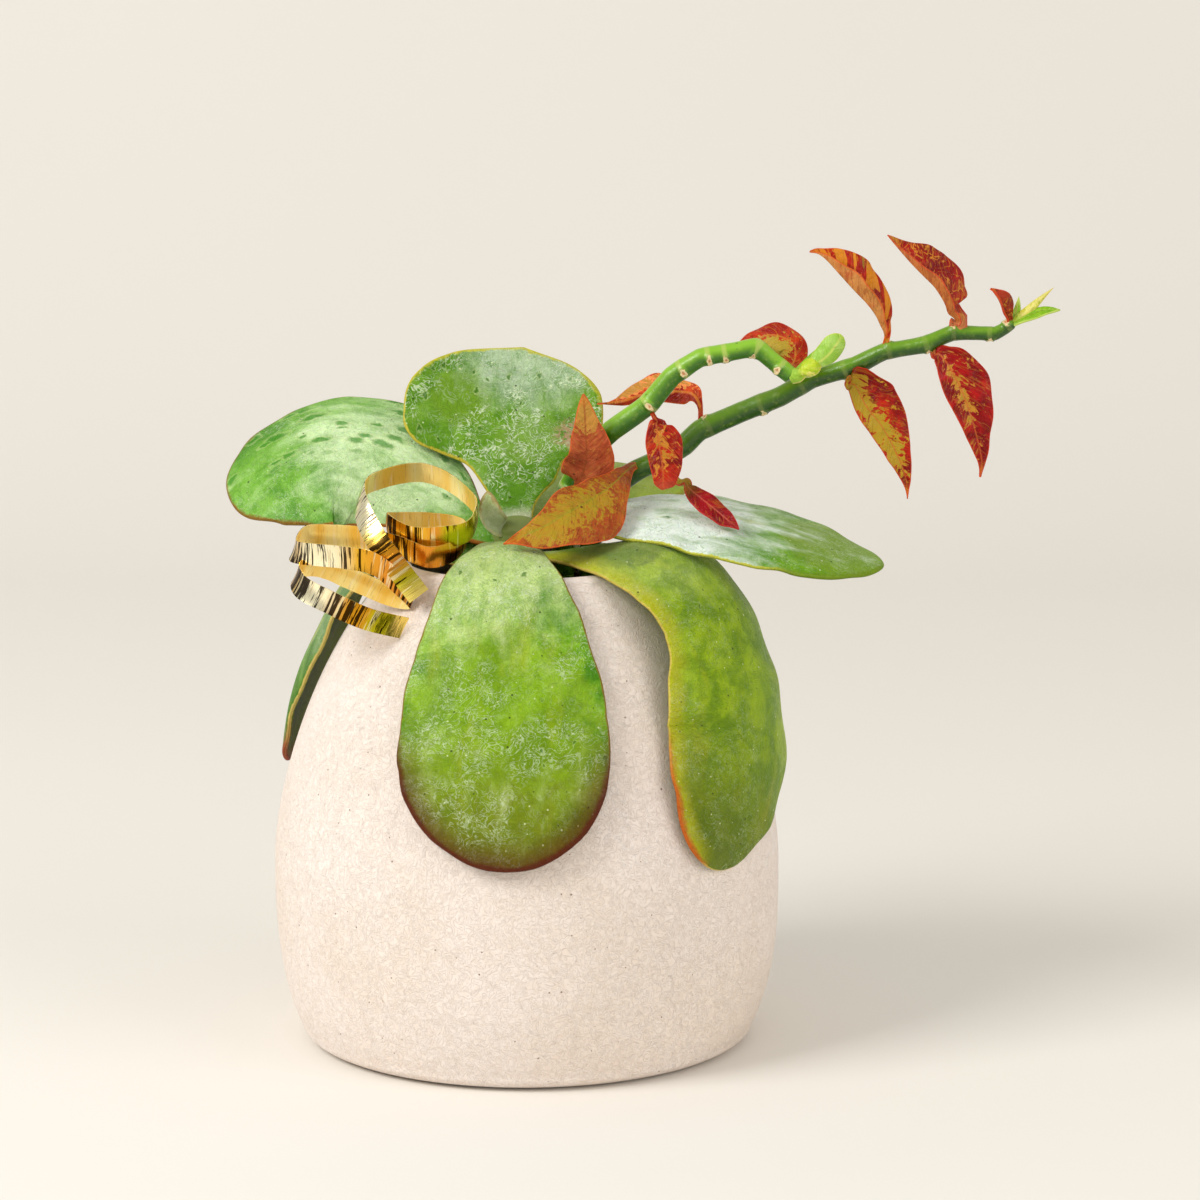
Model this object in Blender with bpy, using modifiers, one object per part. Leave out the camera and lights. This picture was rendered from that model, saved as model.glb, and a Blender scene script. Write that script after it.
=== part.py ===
"""A potted arrangement of two succulents with a curled gilt ribbon.

A matt ceramic pot shaped like an egg holds potting soil. A paddle-leaved succulent stands in the
soil and hangs two of its broad leaves over the front of the rim, and two jointed stems of a
devil's backbone, with red and orange leaves, rise behind it. A strip of gilt film lies in curls
on the left shoulder of the pot. The origin is the middle of the flat base, with +Z up and the
front of the pot towards -Y. Sizes are written in millimetres and scaled by MM.
"""

import math
from dataclasses import dataclass, replace

import bmesh
import bpy
import numpy as np

MM = 0.001
GAP = 0.3

POT_HEIGHT = 162.0
BELLY_RADIUS = 84.6
BELLY_HEIGHT = 62.0
SHOULDER_REACH = 124.0
SHOULDER_FULLNESS = 1.7
FOOT_REACH = 88.0
FOOT_FULLNESS = 3.0
BASE_RADIUS = 66.0
BASE_ROUNDING = 5.0
WALL = 6.0
FLOOR = 8.0
LIP_DROP = 2.2

SOIL_TOP = 150.0
HOLE_DEPTH = 38.0

CROWN_AT = (-3.0, -4.0)
CROWN_RADIUS = 8.5
CROWN_TOP = 177.0
CROWN_DOME = 5.0
CROWN_TAPER = 1.5

STEM_SIDES_RESOLUTION = 2
RIBBON_WIDTH = 7.6
RIBBON_THICKNESS = 0.6
CAP_WELD = 0.0001
TIP_WELD = 0.02


@dataclass
class Blade:
    """One leaf: a spine of points from root to tip, and the outline and section along it."""

    spine: tuple
    face: tuple
    width: float
    root: float
    face_tip: tuple = None
    belly: float = 0.7
    swell: float = 1.2
    tip: float = 2.0
    point: float = 2.0
    arch: float = 110.0
    thick: float = 4.0
    rim: float = 1.6


PADDLES = {
    "paddle_front": Blade(
        spine=((-4, -7, 166.5), (-5, -14, 167.5), (-6.5, -24, 169), (-7, -36, 168.3),
               (-7, -49, 160.8), (-6.5, -63.5, 141.5), (-6.4, -76, 117), (-7.3, -82.6, 99),
               (-8.8, -86.5, 84), (-9.8, -87.5, 76.3)),
        face=(-0.05, -1, 1), width=69.5, root=10, belly=0.74, arch=95, thick=4.4),
    "paddle_drape_right": Blade(
        spine=((0, -5.5, 162.5), (8, -11, 164), (18, -19, 166.5), (33, -28, 167.8),
               (49, -33.5, 163), (60.5, -36, 150.5), (67.5, -39.5, 131), (70.2, -45, 110),
               (65.5, -55.5, 90), (57.5, -64.5, 73)),
        face=(0.75, -0.65, 1), face_tip=(0.85, -0.6, 0.2), width=61, root=9, belly=0.7,
        arch=75, thick=4.4),
    "paddle_spread_right": Blade(
        spine=((0, -4, 170), (9, -4, 172.5), (24, -4, 176.3), (44, -3, 177.2), (64, -3, 174.9),
               (84, -3, 170.3), (104, -4, 163.8), (118.5, -5, 160)),
        face=(0.1, -0.11, 1), face_tip=(0.1, -0.28, 1), width=57, root=9, belly=0.55,
        arch=150, thick=4.2),
    "paddle_tall_back": Blade(
        spine=((-3, -1, 172.5), (-4, 5, 178), (-5.6, 11, 184.5), (-6.8, 18.5, 193),
               (-6, 27, 203.5), (-3, 34, 215.5), (3, 39.5, 225)),
        face=(0.02, -0.8, 0.6), width=68, root=10, belly=0.64, swell=1.5, arch=-120, thick=4.2),
    "paddle_left": Blade(
        spine=((-7, -4, 168), (-14, -2.5, 171), (-22, 3, 175), (-33, 9, 182.5), (-48, 14, 192),
               (-63, 16, 195), (-78, 16, 191), (-90, 15, 184), (-98, 14, 176.5)),
        face=(0.0, -0.4, 1), face_tip=(-0.5, -0.7, 0.75), width=64.5, root=10, belly=0.58, swell=1.6,
        arch=130, thick=4.2),
    "paddle_low_left": Blade(
        spine=((-6, -4.5, 161.5), (-14, -1.7, 163.5), (-28, 7, 168), (-43, 13.5, 165), (-57, 19, 151),
               (-68, 22, 132), (-76, 25, 112), (-79, 27, 98), (-79.5, 28, 88)),
        face=(-1, 0.3, 1), face_tip=(-1, 0.3, 0.2), width=52, root=9, belly=0.68, arch=80, thick=4.0),
    "paddle_back_right": Blade(
        spine=((-1, 1, 168), (0, 6, 170), (0.5, 16, 174), (5, 31, 178), (19, 42.5, 181),
               (37, 48, 181), (54, 50, 178)),
        face=(0.1, -0.3, 1), width=33, root=7, belly=0.62, swell=1.7, arch=120, thick=3.6),
    "paddle_back": Blade(
        spine=((-2.5, -2, 163.4), (-3.2, 7, 165.2), (-8, 20, 168.9), (-12, 36, 168.6), (-14, 52, 159.5),
               (-15, 68, 140), (-15, 80, 116), (-14, 86, 96)),
        face=(-0.05, 1, 1), width=60, root=8.5, belly=0.7, swell=1.4, arch=90, thick=4.2),
    "paddle_inner_small": Blade(
        spine=((-6, -7, 172), (-9, -10, 175), (-11, -13, 179), (-12, -14.5, 183), (-12.5, -15, 187)),
        face=(-0.3, -0.8, 0.6), width=8.6, root=5, belly=0.5, point=1.4, arch=-8, thick=2.0, rim=1.0),
}

RED_LEAVES = {
    "long": {
        "low": Blade(
            spine=((37, 7, 190), (31, -6, 187.6), (24.5, -18, 183.6), (16, -26, 180.5), (5, -32, 177.2),
                   (-7, -36.5, 173.2)),
            face=(0.0, -1, 0.5), width=24.5, root=2.4, belly=0.42, swell=1.7, tip=1.4, point=1.0,
            arch=40, thick=1.2, rim=0.8),
        "arched": Blade(
            spine=((57.5, 8, 204), (58.8, 9, 208), (56.5, 11, 213.5), (48.5, 13, 216.5), (37, 13, 214.5),
                   (23.5, 11, 212.3)),
            face=(0.0, -0.9, 1), width=13, root=2.4, belly=0.5, tip=1.5, point=1.0,
            arch=-9, thick=1.2, rim=0.8),
        "crimson": Blade(
            spine=((45, 7, 193.5), (49, 0, 188.7), (52.5, -6, 186.5), (60.5, -13, 181), (69.8, -18, 175)),
            face=(0.3, -1, 0.5), width=8.5, root=2.4, belly=0.62, tip=1.5, point=1.0,
            arch=14, thick=1.2, rim=0.8),
        "upper_left": Blade(
            spine=((119, 2, 231), (119.4, 0, 237), (118, -2, 246), (110.5, -4, 257.5), (93, -4, 264.5)),
            face=(-0.35, -1, 0.6), width=13, root=2.2, belly=0.48, tip=1.5, point=1.0,
            arch=12, thick=1.2, rim=0.8),
        "upper_right": Blade(
            spine=((140.7, 0, 237), (141, -3, 243.5), (140, -6, 254), (132, -5, 263.5), (119, 0, 270)),
            face=(0.45, -1, 0.5), width=16.5, root=2.2, belly=0.48, tip=1.5, point=1.0,
            arch=16, thick=1.2, rim=0.8),
        "lower_left": Blade(
            spine=((107.5, 3, 224), (110.5, -1, 218.5), (115, -4, 211), (121.5, -6, 199),
                   (126.5, -6, 183)),
            face=(-0.3, -1, 0.2), width=16, root=2.2, belly=0.42, tip=1.6, point=1.0,
            arch=20, thick=1.2, rim=0.8),
        "lower_right": Blade(
            spine=((134.5, 0, 232.5), (140, -3, 227), (146.5, -6, 215.5), (150, -8, 203),
                   (150.3, -6, 190.5)),
            face=(0.1, -1, 0.2), width=16, root=2.2, belly=0.42, tip=1.6, point=1.0,
            arch=18, thick=1.2, rim=0.8),
        "end_leaf": Blade(
            spine=((158.2, -2, 238.5), (158.6, -4, 243), (156.5, -5, 248.5), (151.7, -5, 252.8)),
            face=(0.3, -1, 0.3), width=6.8, root=2.0, belly=0.5, tip=1.5, point=1.0,
            arch=8, thick=1.2, rim=0.8),
    },
    "short": {
        "upright": Blade(
            spine=((13.5, 9, 183), (16.5, 5, 188), (20.5, 1, 196), (22, -2.5, 207), (19, -5, 219.5)),
            face=(-0.1, -1, 0.25), width=16.5, root=2.6, belly=0.42, tip=1.6, point=1.0,
            arch=-18, thick=1.2, rim=0.8),
        "hanging": Blade(
            spine=((41.5, -5, 212), (42.8, -8, 208), (44, -12, 203.5), (47, -14.5, 196),
                   (45.5, -15, 187.5)),
            face=(0.15, -1, 0.1), width=12.4, root=2.2, belly=0.58, tip=2.4, point=1.6,
            arch=14, thick=1.2, rim=0.8),
        "behind_bud": Blade(
            spine=((86, -9, 225.5), (88.5, -5, 229.5), (87.5, -2, 234.3), (80, 1, 236.3), (68.5, 5, 231.5)),
            face=(0.1, -1, 0.9), width=12, root=2.2, belly=0.5, tip=1.6, point=1.0,
            arch=14, thick=1.2, rim=0.8),
    },
}

GREEN_SHOOTS = {
    "long": {
        "spike": Blade(
            spine=((160, -2, 240.5), (164, -3, 244), (169, -4, 249), (173.5, -4, 253)),
            face=(0.0, -1, 0.5), width=3.0, root=2.4, belly=0.3, tip=1.5, point=1.0,
            arch=4, thick=1.6, rim=0.8),
        "leaflet": Blade(
            spine=((160, -2, 240.5), (165, -4, 243), (170, -5, 245), (175.5, -5, 245.5)),
            face=(0.0, -0.8, 1), width=3.6, root=2.4, belly=0.45, tip=1.5, point=1.0,
            arch=4, thick=1.4, rim=0.8),
        "upper_leaflet": Blade(
            spine=((159.5, -2, 240.5), (161.5, -1, 244.5), (162.5, 0, 248.5)),
            face=(-0.6, -1, 0.3), width=2.6, root=2.2, belly=0.4, tip=1.5, point=1.0,
            arch=4, thick=1.4, rim=0.8),
    },
    "short": {
        "knob": Blade(
            spine=((86.5, -10, 223.5), (91, -10, 225.5), (95, -10.5, 228), (97, -11, 229.5)),
            face=(0.0, -1, 0.5), width=5.6, root=5.0, belly=0.5, tip=2.2, point=2.0,
            arch=8, thick=4.6, rim=2.0),
        "bud_front": Blade(
            spine=((93, -11, 226.5), (97.5, -12.5, 231), (101, -12.5, 235), (103.5, -12, 238)),
            face=(0.3, -1, 0.0), width=6.6, root=3.0, belly=0.5, tip=2.0, point=1.7,
            arch=5, thick=2.4, rim=1.0),
        "bud_back": Blade(
            spine=((93, -10, 227), (96.5, -9, 231), (100, -8.5, 234), (104.5, -8.5, 234.5)),
            face=(-0.2, -1, 0.4), width=5.6, root=3.0, belly=0.5, tip=2.0, point=1.7,
            arch=5, thick=2.4, rim=1.0),
    },
}

STEMS = {
    "long": ((21, 22, 113, 4.0), (21, 22, 146, 4.0), (21, 22, 154, 4.0), (21.5, 21.5, 168, 4.0),
             (26, 17, 182, 4.0), (36.5, 9, 190.3, 4.0), (45, 8, 194.5, 3.9), (52.5, 8, 199, 3.9),
             (57.7, 8, 204, 3.9), (71, 8, 210, 3.8), (84, 6, 215.3, 3.7), (94.7, 6, 221.3, 3.5),
             (108.8, 4, 226, 3.4), (118.5, 2, 231, 3.2), (131.6, 0, 233.6, 3.0), (140.7, 0, 237.4, 2.8),
             (154.4, -2, 237.4, 2.4), (161, -2, 241.5, 1.8)),
    "short": ((12, 18, 113, 4.0), (12, 18, 146, 4.0), (12, 18, 154, 4.0), (12, 17, 172, 4.0),
              (14.2, 12.5, 184, 4.0), (20, 6, 196, 4.0), (28.4, 0, 205, 4.0), (40.2, -4, 214, 3.8),
              (48.1, -6, 223.8, 3.6), (57.2, -8, 230, 3.4), (70.3, -8, 233, 3.3), (78.5, -8, 229.8, 3.3),
              (87.7, -10, 223.8, 3.2)),
}

RIBBON = (
    ((-34, -44, 157), (0.8, 0.0, 0.6)), ((-42, -41.5, 167), (0.8, -0.05, 0.6)),
    ((-49, -37, 176), (0.75, -0.1, 0.6)), ((-53.5, -29, 184), (0.5, -0.2, 0.8)),
    ((-53, -21, 189), (0.25, -0.35, 0.9)), ((-45, -13, 191.5), (0.05, -0.45, 0.9)),
    ((-35, -9, 192.5), (0, -0.45, 0.9)), ((-26, -11, 190), (0, -0.45, 0.9)),
    ((-19, -16, 185.5), (-0.05, -0.4, 0.9)), ((-15.5, -22, 181.5), (0, -0.3, 0.95)),
    ((-18, -29, 176), (0, -0.3, 0.95)), ((-26, -33, 174.5), (0, -0.3, 0.95)),
    ((-37, -33, 174.5), (0, -0.3, 0.95)), ((-45, -28, 178), (0, -0.3, 0.95)),
    ((-42, -21, 177.5), (0, -0.3, 0.95)), ((-32, -18, 177), (0, -0.3, 0.95)),
    ((-23, -19, 176), (0, -0.3, 0.95)), ((-19, -23, 174), (0, -0.3, 0.95)),
    ((-23, -30, 169.5), (0, -0.3, 0.95)), ((-31, -34.5, 168), (0, -0.3, 0.95)),
    ((-41, -32, 171), (0, -0.2, 1)), ((-53, -26, 173), (0, -0.2, 1)),
    ((-63, -24, 173.5), (0, -0.2, 1)), ((-72, -26, 173.5), (0.2, -0.2, 0.95)),
    ((-75, -32, 170), (0.3, -0.2, 0.9)), ((-69, -39, 169.5), (0, -0.2, 1)),
    ((-59, -43, 168), (-0.1, -0.15, 1)), ((-49, -45, 164), (0.1, -0.1, 0.95)),
    ((-41, -44, 158.5), (0.3, -0.1, 0.9)), ((-37, -41, 154.5), (0.4, -0.2, 0.85)),
    ((-45, -37.5, 157.5), (0.4, -0.25, 0.85)), ((-55, -34.5, 162), (0.4, -0.25, 0.85)),
    ((-66, -33, 165), (0.35, -0.25, 0.87)), ((-73.5, -36, 164), (0.35, -0.2, 0.87)),
    ((-72, -43, 160), (0.4, -0.1, 0.87)), ((-63, -48, 156), (0.4, -0.1, 0.87)),
    ((-52, -45.6, 150.8), (0.42, -0.1, 0.87)), ((-41, -37.9, 147.4), (0.42, -0.1, 0.87)),
)

COLOURS = {
    "matt_ceramic": ((0.79, 0.72, 0.65), 0.85, 0.0),
    "potting_soil": ((0.06, 0.04, 0.028), 0.95, 0.0),
    "paddle_green": ((0.22, 0.38, 0.09), 0.5, 0.0),
    "stem_green": ((0.19, 0.36, 0.06), 0.4, 0.0),
    "red_leaf": ((0.52, 0.07, 0.03), 0.42, 0.0),
    "gilt_film": ((0.83, 0.56, 0.16), 0.18, 1.0),
}


def clear_scene():
    for obj in list(bpy.data.objects):
        bpy.data.objects.remove(obj, do_unlink=True)


def new_collection(name):
    collection = bpy.data.collections.new(name)
    bpy.context.scene.collection.children.link(collection)
    return collection


def new_material(name):
    colour, roughness, metallic = COLOURS[name]
    material = bpy.data.materials.new(name)
    material.use_nodes = True
    shader = material.node_tree.nodes["Principled BSDF"]
    shader.inputs["Base Color"].default_value = (*colour, 1.0)
    shader.inputs["Roughness"].default_value = roughness
    shader.inputs["Metallic"].default_value = metallic
    return material


def new_object(name, mesh, collection, material):
    obj = bpy.data.objects.new(name, mesh)
    obj.data.materials.append(material)
    collection.objects.link(obj)
    return obj


def unit(rows):
    return rows / np.linalg.norm(rows, axis=-1, keepdims=True)


def smooth_path(points, count):
    """A Catmull-Rom curve through the points, read at count places evenly along its length."""
    points = np.array(points, float)
    before = 2 * points[0] - points[1]
    after = 2 * points[-1] - points[-2]
    knots = np.vstack([before, points, after])
    shares = np.linspace(0, 1, 24, endpoint=False)[:, None]
    pieces = []
    for a, b, c, d in zip(knots, knots[1:], knots[2:], knots[3:]):
        pieces.append(0.5 * (2 * b + (c - a) * shares + (2 * a - 5 * b + 4 * c - d) * shares**2
                             + (3 * b - a - 3 * c + d) * shares**3))
    fine = np.vstack([*pieces, points[-1:]])
    steps = np.linalg.norm(np.diff(fine[:, :3], axis=0), axis=1)
    along = np.concatenate([[0], np.cumsum(steps)])
    if np.ndim(count) == 0:
        count = np.linspace(0, 1, count)
    wanted = np.asarray(count) * along[-1]
    return np.stack([np.interp(wanted, along, column) for column in fine.T], axis=1)


def pot_radius(height):
    """The outer radius of the pot at a height above its base."""
    if height >= BELLY_HEIGHT:
        reach, fullness = SHOULDER_REACH, SHOULDER_FULLNESS
    else:
        reach, fullness = FOOT_REACH, FOOT_FULLNESS
    share = abs(height - BELLY_HEIGHT) / reach
    return BELLY_RADIUS * (1 - share**fullness) ** (1 / fullness)


def turned(name, profile, steps, collection, material):
    """A closed solid turned about Z from a profile that starts and ends on the axis."""
    mesh = bpy.data.meshes.new(name)
    points = [(radius * MM, 0, height * MM) for radius, height in profile]
    mesh.from_pydata(points, [(i, i + 1) for i in range(len(points) - 1)], [])
    obj = new_object(name, mesh, collection, material)
    screw = obj.modifiers.new("turn", "SCREW")
    screw.steps = screw.render_steps = steps
    screw.use_merge_vertices = True
    screw.merge_threshold = 0.00001
    screw.use_smooth_shade = True
    return obj


def quarter(centre, across, up, start, end, count):
    """Points of an elliptical arc about centre, from start to end in degrees."""
    angles = np.radians(np.linspace(start, end, count))
    return [(centre[0] + across * math.cos(a), centre[1] + up * math.sin(a)) for a in angles]


def pot_profile():
    """From the middle of the floor inside, up the wall, over the lip and down to the base."""
    lip_height = POT_HEIGHT - LIP_DROP
    inside = [(0, FLOOR), (pot_radius(FLOOR) - WALL - 12, FLOOR), (pot_radius(14) - WALL - 1, 14)]
    inside += [(pot_radius(h) - WALL, h) for h in (26, 44, 62, 84, 104, 122, 138, 150)]
    middle = pot_radius(lip_height) - WALL / 2
    lip = quarter((middle, lip_height), WALL / 2, LIP_DROP, 180, 0, 6)
    outside = [(pot_radius(h), h) for h in (154, 148, 140, 131, 121, 110, 98, 86, 74, 62, 48, 34, 22, 13)]
    foot_radius = pot_radius(BASE_ROUNDING)
    foot = quarter((BASE_RADIUS, BASE_ROUNDING), foot_radius - BASE_RADIUS, BASE_ROUNDING, 0, -90, 4)
    return [*inside, *lip, *outside, *foot, (0, 0)]


def soil_profile():
    """From the middle of the top, out to the wall and down to the floor, clear of both."""
    wall = [(pot_radius(h) - WALL - GAP, h) for h in (SOIL_TOP, 138, 122, 104, 84, 62, 44, 26)]
    corner = [(pot_radius(14) - WALL - 2, 14.5), (pot_radius(FLOOR) - WALL - 13, FLOOR + GAP)]
    return [(0, SOIL_TOP), *wall, *corner, (0, FLOOR + GAP)]


def cut_away(obj, cutter):
    """Cuts the cutter's shape out of the object and keeps the cutter out of the renders."""
    cutter.hide_render = True
    cutter.display_type = "WIRE"
    cut = obj.modifiers.new(cutter.name, "BOOLEAN")
    cut.object = cutter
    cut.operation = "DIFFERENCE"
    cut.solver = "EXACT"


def plain_hole(soil, name, at, radius, cutters):
    """A blind hole in the soil for one stem."""
    bpy.ops.mesh.primitive_cylinder_add(
        vertices=32, radius=(radius + GAP) * MM, depth=2 * (HOLE_DEPTH + GAP) * MM,
        location=(at[0] * MM, at[1] * MM, SOIL_TOP * MM))
    cutter = bpy.context.object
    cutter.name = name
    for collection in cutter.users_collection:
        collection.objects.unlink(cutter)
    cutters.objects.link(cutter)
    cut_away(soil, cutter)


def blade_rows(blade, rows):
    """Shares of the length at which the blade has its rows, closer together towards the tip."""
    lower = int(round(rows * 0.6))
    below = np.linspace(0, blade.belly, lower, endpoint=False)
    beyond = np.sin(np.linspace(0, math.pi / 2, rows - lower))
    return np.concatenate([below, blade.belly + (1 - blade.belly) * beyond])


def half_width(blade, share):
    if share < blade.belly:
        opened = math.sin(math.pi / 2 * (share / blade.belly) ** blade.swell)
        return (blade.root + (blade.width - blade.root) * opened) / 2
    past = (share - blade.belly) / (1 - blade.belly)
    return blade.width / 2 * max(0.0, 1 - past**blade.tip) ** (1 / blade.point)


def blade_surface(blade, rows, columns):
    """The middle surface of a blade as rows of points, and the share of full thickness at each."""
    shares = blade_rows(blade, rows)
    spine = smooth_path(blade.spine, shares)
    ahead = smooth_path(blade.spine, np.minimum(shares + 0.01, 1))
    behind = smooth_path(blade.spine, np.maximum(shares - 0.01, 0))
    along = unit(ahead - behind)
    start = np.array(blade.face, float)
    end = np.array(blade.face_tip or blade.face, float)
    face = start + (end - start) * shares[:, None]
    face = unit(face - along * np.sum(face * along, axis=1, keepdims=True))
    across = np.cross(along, face)
    sides = np.linspace(-1, 1, columns)
    points = np.empty((rows, columns, 3))
    fullness = np.empty((rows, columns))
    for i, share in enumerate(shares):
        reach = half_width(blade, share) * sides
        turn = reach / blade.arch
        flat = blade.arch * np.sin(turn)
        drop = blade.arch * (1 - np.cos(turn))
        points[i] = spine[i] + across[i] * flat[:, None] - face[i] * drop[:, None]
        middle = (1 - sides**2) * (1 - share**6)
        fullness[i] = (blade.rim + (blade.thick - blade.rim) * middle) / blade.thick
    return points, fullness


def make_blade(name, blade, rows, columns, collection, material):
    """A blade as an open sheet of triangles with Solidify, which splits both faces alike."""
    points, fullness = blade_surface(blade, rows, columns)
    sheet = bmesh.new()
    bmesh.ops.create_grid(sheet, x_segments=columns - 1, y_segments=rows - 1, size=1)
    sheet.verts.ensure_lookup_table()
    for vertex, point in zip(sheet.verts, points.reshape(-1, 3)):
        vertex.co = point * MM
    mesh = bpy.data.meshes.new(name)
    bmesh.ops.triangulate(sheet, faces=sheet.faces)
    sheet.to_mesh(mesh)
    sheet.free()
    obj = new_object(name, mesh, collection, material)
    group = obj.vertex_groups.new(name="thickness")
    for index, share in enumerate(fullness.reshape(-1)):
        group.add([index], float(share), "REPLACE")
    weld = obj.modifiers.new("tip", "WELD")
    weld.merge_threshold = TIP_WELD * MM
    solid = obj.modifiers.new("flesh", "SOLIDIFY")
    solid.thickness = blade.thick * MM
    solid.offset = 0.0
    solid.vertex_group = group.name
    mesh.shade_smooth()
    return obj


def make_stem(name, route, count, collection, material):
    """A round stem through the route's points, each with its radius, as a bevelled curve."""
    path = smooth_path(route, count)
    curve = bpy.data.curves.new(name, "CURVE")
    curve.dimensions = "3D"
    curve.bevel_depth = MM
    curve.bevel_resolution = STEM_SIDES_RESOLUTION
    curve.use_fill_caps = True
    spline = curve.splines.new("POLY")
    spline.points.add(count - 1)
    for knot, (x, y, z, radius) in zip(spline.points, path):
        knot.co = (x * MM, y * MM, z * MM, 1)
        knot.radius = radius
    return new_object(name, curve, collection, material)


def solid_mesh(obj):
    """Replaces the object by a plain mesh of its evaluated shape, with its caps welded."""
    graph = bpy.context.evaluated_depsgraph_get()
    mesh = bpy.data.meshes.new_from_object(obj.evaluated_get(graph))
    welded = bmesh.new()
    welded.from_mesh(mesh)
    bmesh.ops.remove_doubles(welded, verts=welded.verts, dist=CAP_WELD * MM)
    bmesh.ops.recalc_face_normals(welded, faces=welded.faces)
    welded.to_mesh(mesh)
    welded.free()
    name = obj.name
    collection = obj.users_collection[0]
    plain = bpy.data.objects.new(name + "_solid", mesh)
    plain.matrix_world = obj.matrix_world
    collection.objects.link(plain)
    bpy.data.objects.remove(obj, do_unlink=True)
    plain.name = name
    return plain


def fuse(trunk, growths):
    """Joins the growths to the trunk in one body by a Boolean union on their collection."""
    repeats = new_collection("growths")
    for growth in growths:
        for collection in growth.users_collection:
            collection.objects.unlink(growth)
        repeats.objects.link(growth)
    union = trunk.modifiers.new("growths", "BOOLEAN")
    union.operation = "UNION"
    union.operand_type = "COLLECTION"
    union.collection = repeats
    union.solver = "MANIFOLD"
    union.material_mode = "TRANSFER"
    joined = solid_mesh(trunk)
    for growth in list(repeats.objects):
        bpy.data.objects.remove(growth, do_unlink=True)
    bpy.data.collections.remove(repeats)
    joined.data.shade_smooth()
    return joined


def rooted(blade, route):
    """The blade with the first point of its spine moved on to the middle line of its stem."""
    line = smooth_path(route, 400)[:, :3]
    nearest = line[np.argmin(np.linalg.norm(line - blade.spine[0], axis=1))]
    return replace(blade, spine=(tuple(nearest), *blade.spine[1:]))


def make_leafy_stem(which, count, collection, materials):
    """One jointed stem with its leaves and shoots grown on to it."""
    route = STEMS[which]
    stem = solid_mesh(make_stem("backbone_" + which, route, count, collection, materials["stem_green"]))
    kinds = ((RED_LEAVES[which], 10, 5, "red_leaf"), (GREEN_SHOOTS[which], 6, 4, "stem_green"))
    growths = []
    for blades, rows, columns, material in kinds:
        for name, blade in blades.items():
            grown = rooted(blade, route)
            leaf = make_blade(f"{which}_{name}", grown, rows, columns, collection, materials[material])
            growths.append(solid_mesh(leaf))
    return fuse(stem, growths)


def make_crown(name, spare, collection, material):
    """The short thick stem that the paddle leaves grow from, larger all round by spare."""
    bottom = SOIL_TOP - HOLE_DEPTH - spare
    radius = CROWN_RADIUS + spare
    dome = quarter((0, CROWN_TOP - CROWN_DOME), radius, CROWN_DOME + spare, 90, 0, 5)
    profile = [*dome, (radius, SOIL_TOP), (radius - CROWN_TAPER, bottom), (0, bottom)]
    crown = turned(name, profile, 20, collection, material)
    crown.location = (CROWN_AT[0] * MM, CROWN_AT[1] * MM, 0)
    return crown


def make_ribbon(collection, material):
    """The strip of gilt film: its middle line and its width direction turn together."""
    stations = [(*place, *unit(np.array(axis, float))) for place, axis in RIBBON]
    path = smooth_path(stations, 130)
    middle, axis = path[:, :3], unit(path[:, 3:])
    strip = bmesh.new()
    bmesh.ops.create_grid(strip, x_segments=1, y_segments=len(path) - 1, size=1)
    strip.verts.ensure_lookup_table()
    edges = np.stack([middle - axis * RIBBON_WIDTH / 2, middle + axis * RIBBON_WIDTH / 2], axis=1)
    for vertex, point in zip(strip.verts, edges.reshape(-1, 3)):
        vertex.co = point * MM
    bmesh.ops.triangulate(strip, faces=strip.faces)
    mesh = bpy.data.meshes.new("gilt_ribbon")
    strip.to_mesh(mesh)
    strip.free()
    ribbon = new_object("gilt_ribbon", mesh, collection, material)
    film = ribbon.modifiers.new("film", "SOLIDIFY")
    film.thickness = RIBBON_THICKNESS * MM
    film.offset = 0.0
    mesh.shade_smooth()
    return ribbon


def build():
    clear_scene()
    parts = new_collection("potted_succulents")
    cutters = new_collection("cutters")
    materials = {name: new_material(name) for name in COLOURS}

    turned("pot", pot_profile(), 36, parts, materials["matt_ceramic"])
    soil = turned("potting_soil", soil_profile(), 36, parts, materials["potting_soil"])
    plain_hole(soil, "crown_hole", CROWN_AT, CROWN_RADIUS, cutters)
    for which, route in STEMS.items():
        plain_hole(soil, which + "_stem_hole", route[0], route[0][3], cutters)

    make_crown("paddle_crown", 0, parts, materials["paddle_green"])
    seat = make_crown("crown_seat", GAP, cutters, materials["paddle_green"])
    for name, blade in PADDLES.items():
        cut_away(make_blade(name, blade, 15, 7, parts, materials["paddle_green"]), seat)
    make_leafy_stem("long", 56, parts, materials)
    make_leafy_stem("short", 40, parts, materials)
    make_ribbon(parts, materials["gilt_film"])


build()
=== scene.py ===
"""The potted succulent arrangement, dressed over its solids: a matt pot of soil, a paddle-leaved
succulent, two jointed stems with red leaves, and a curled gilt ribbon on the pot's shoulder."""

import math
from dataclasses import dataclass, replace

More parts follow.
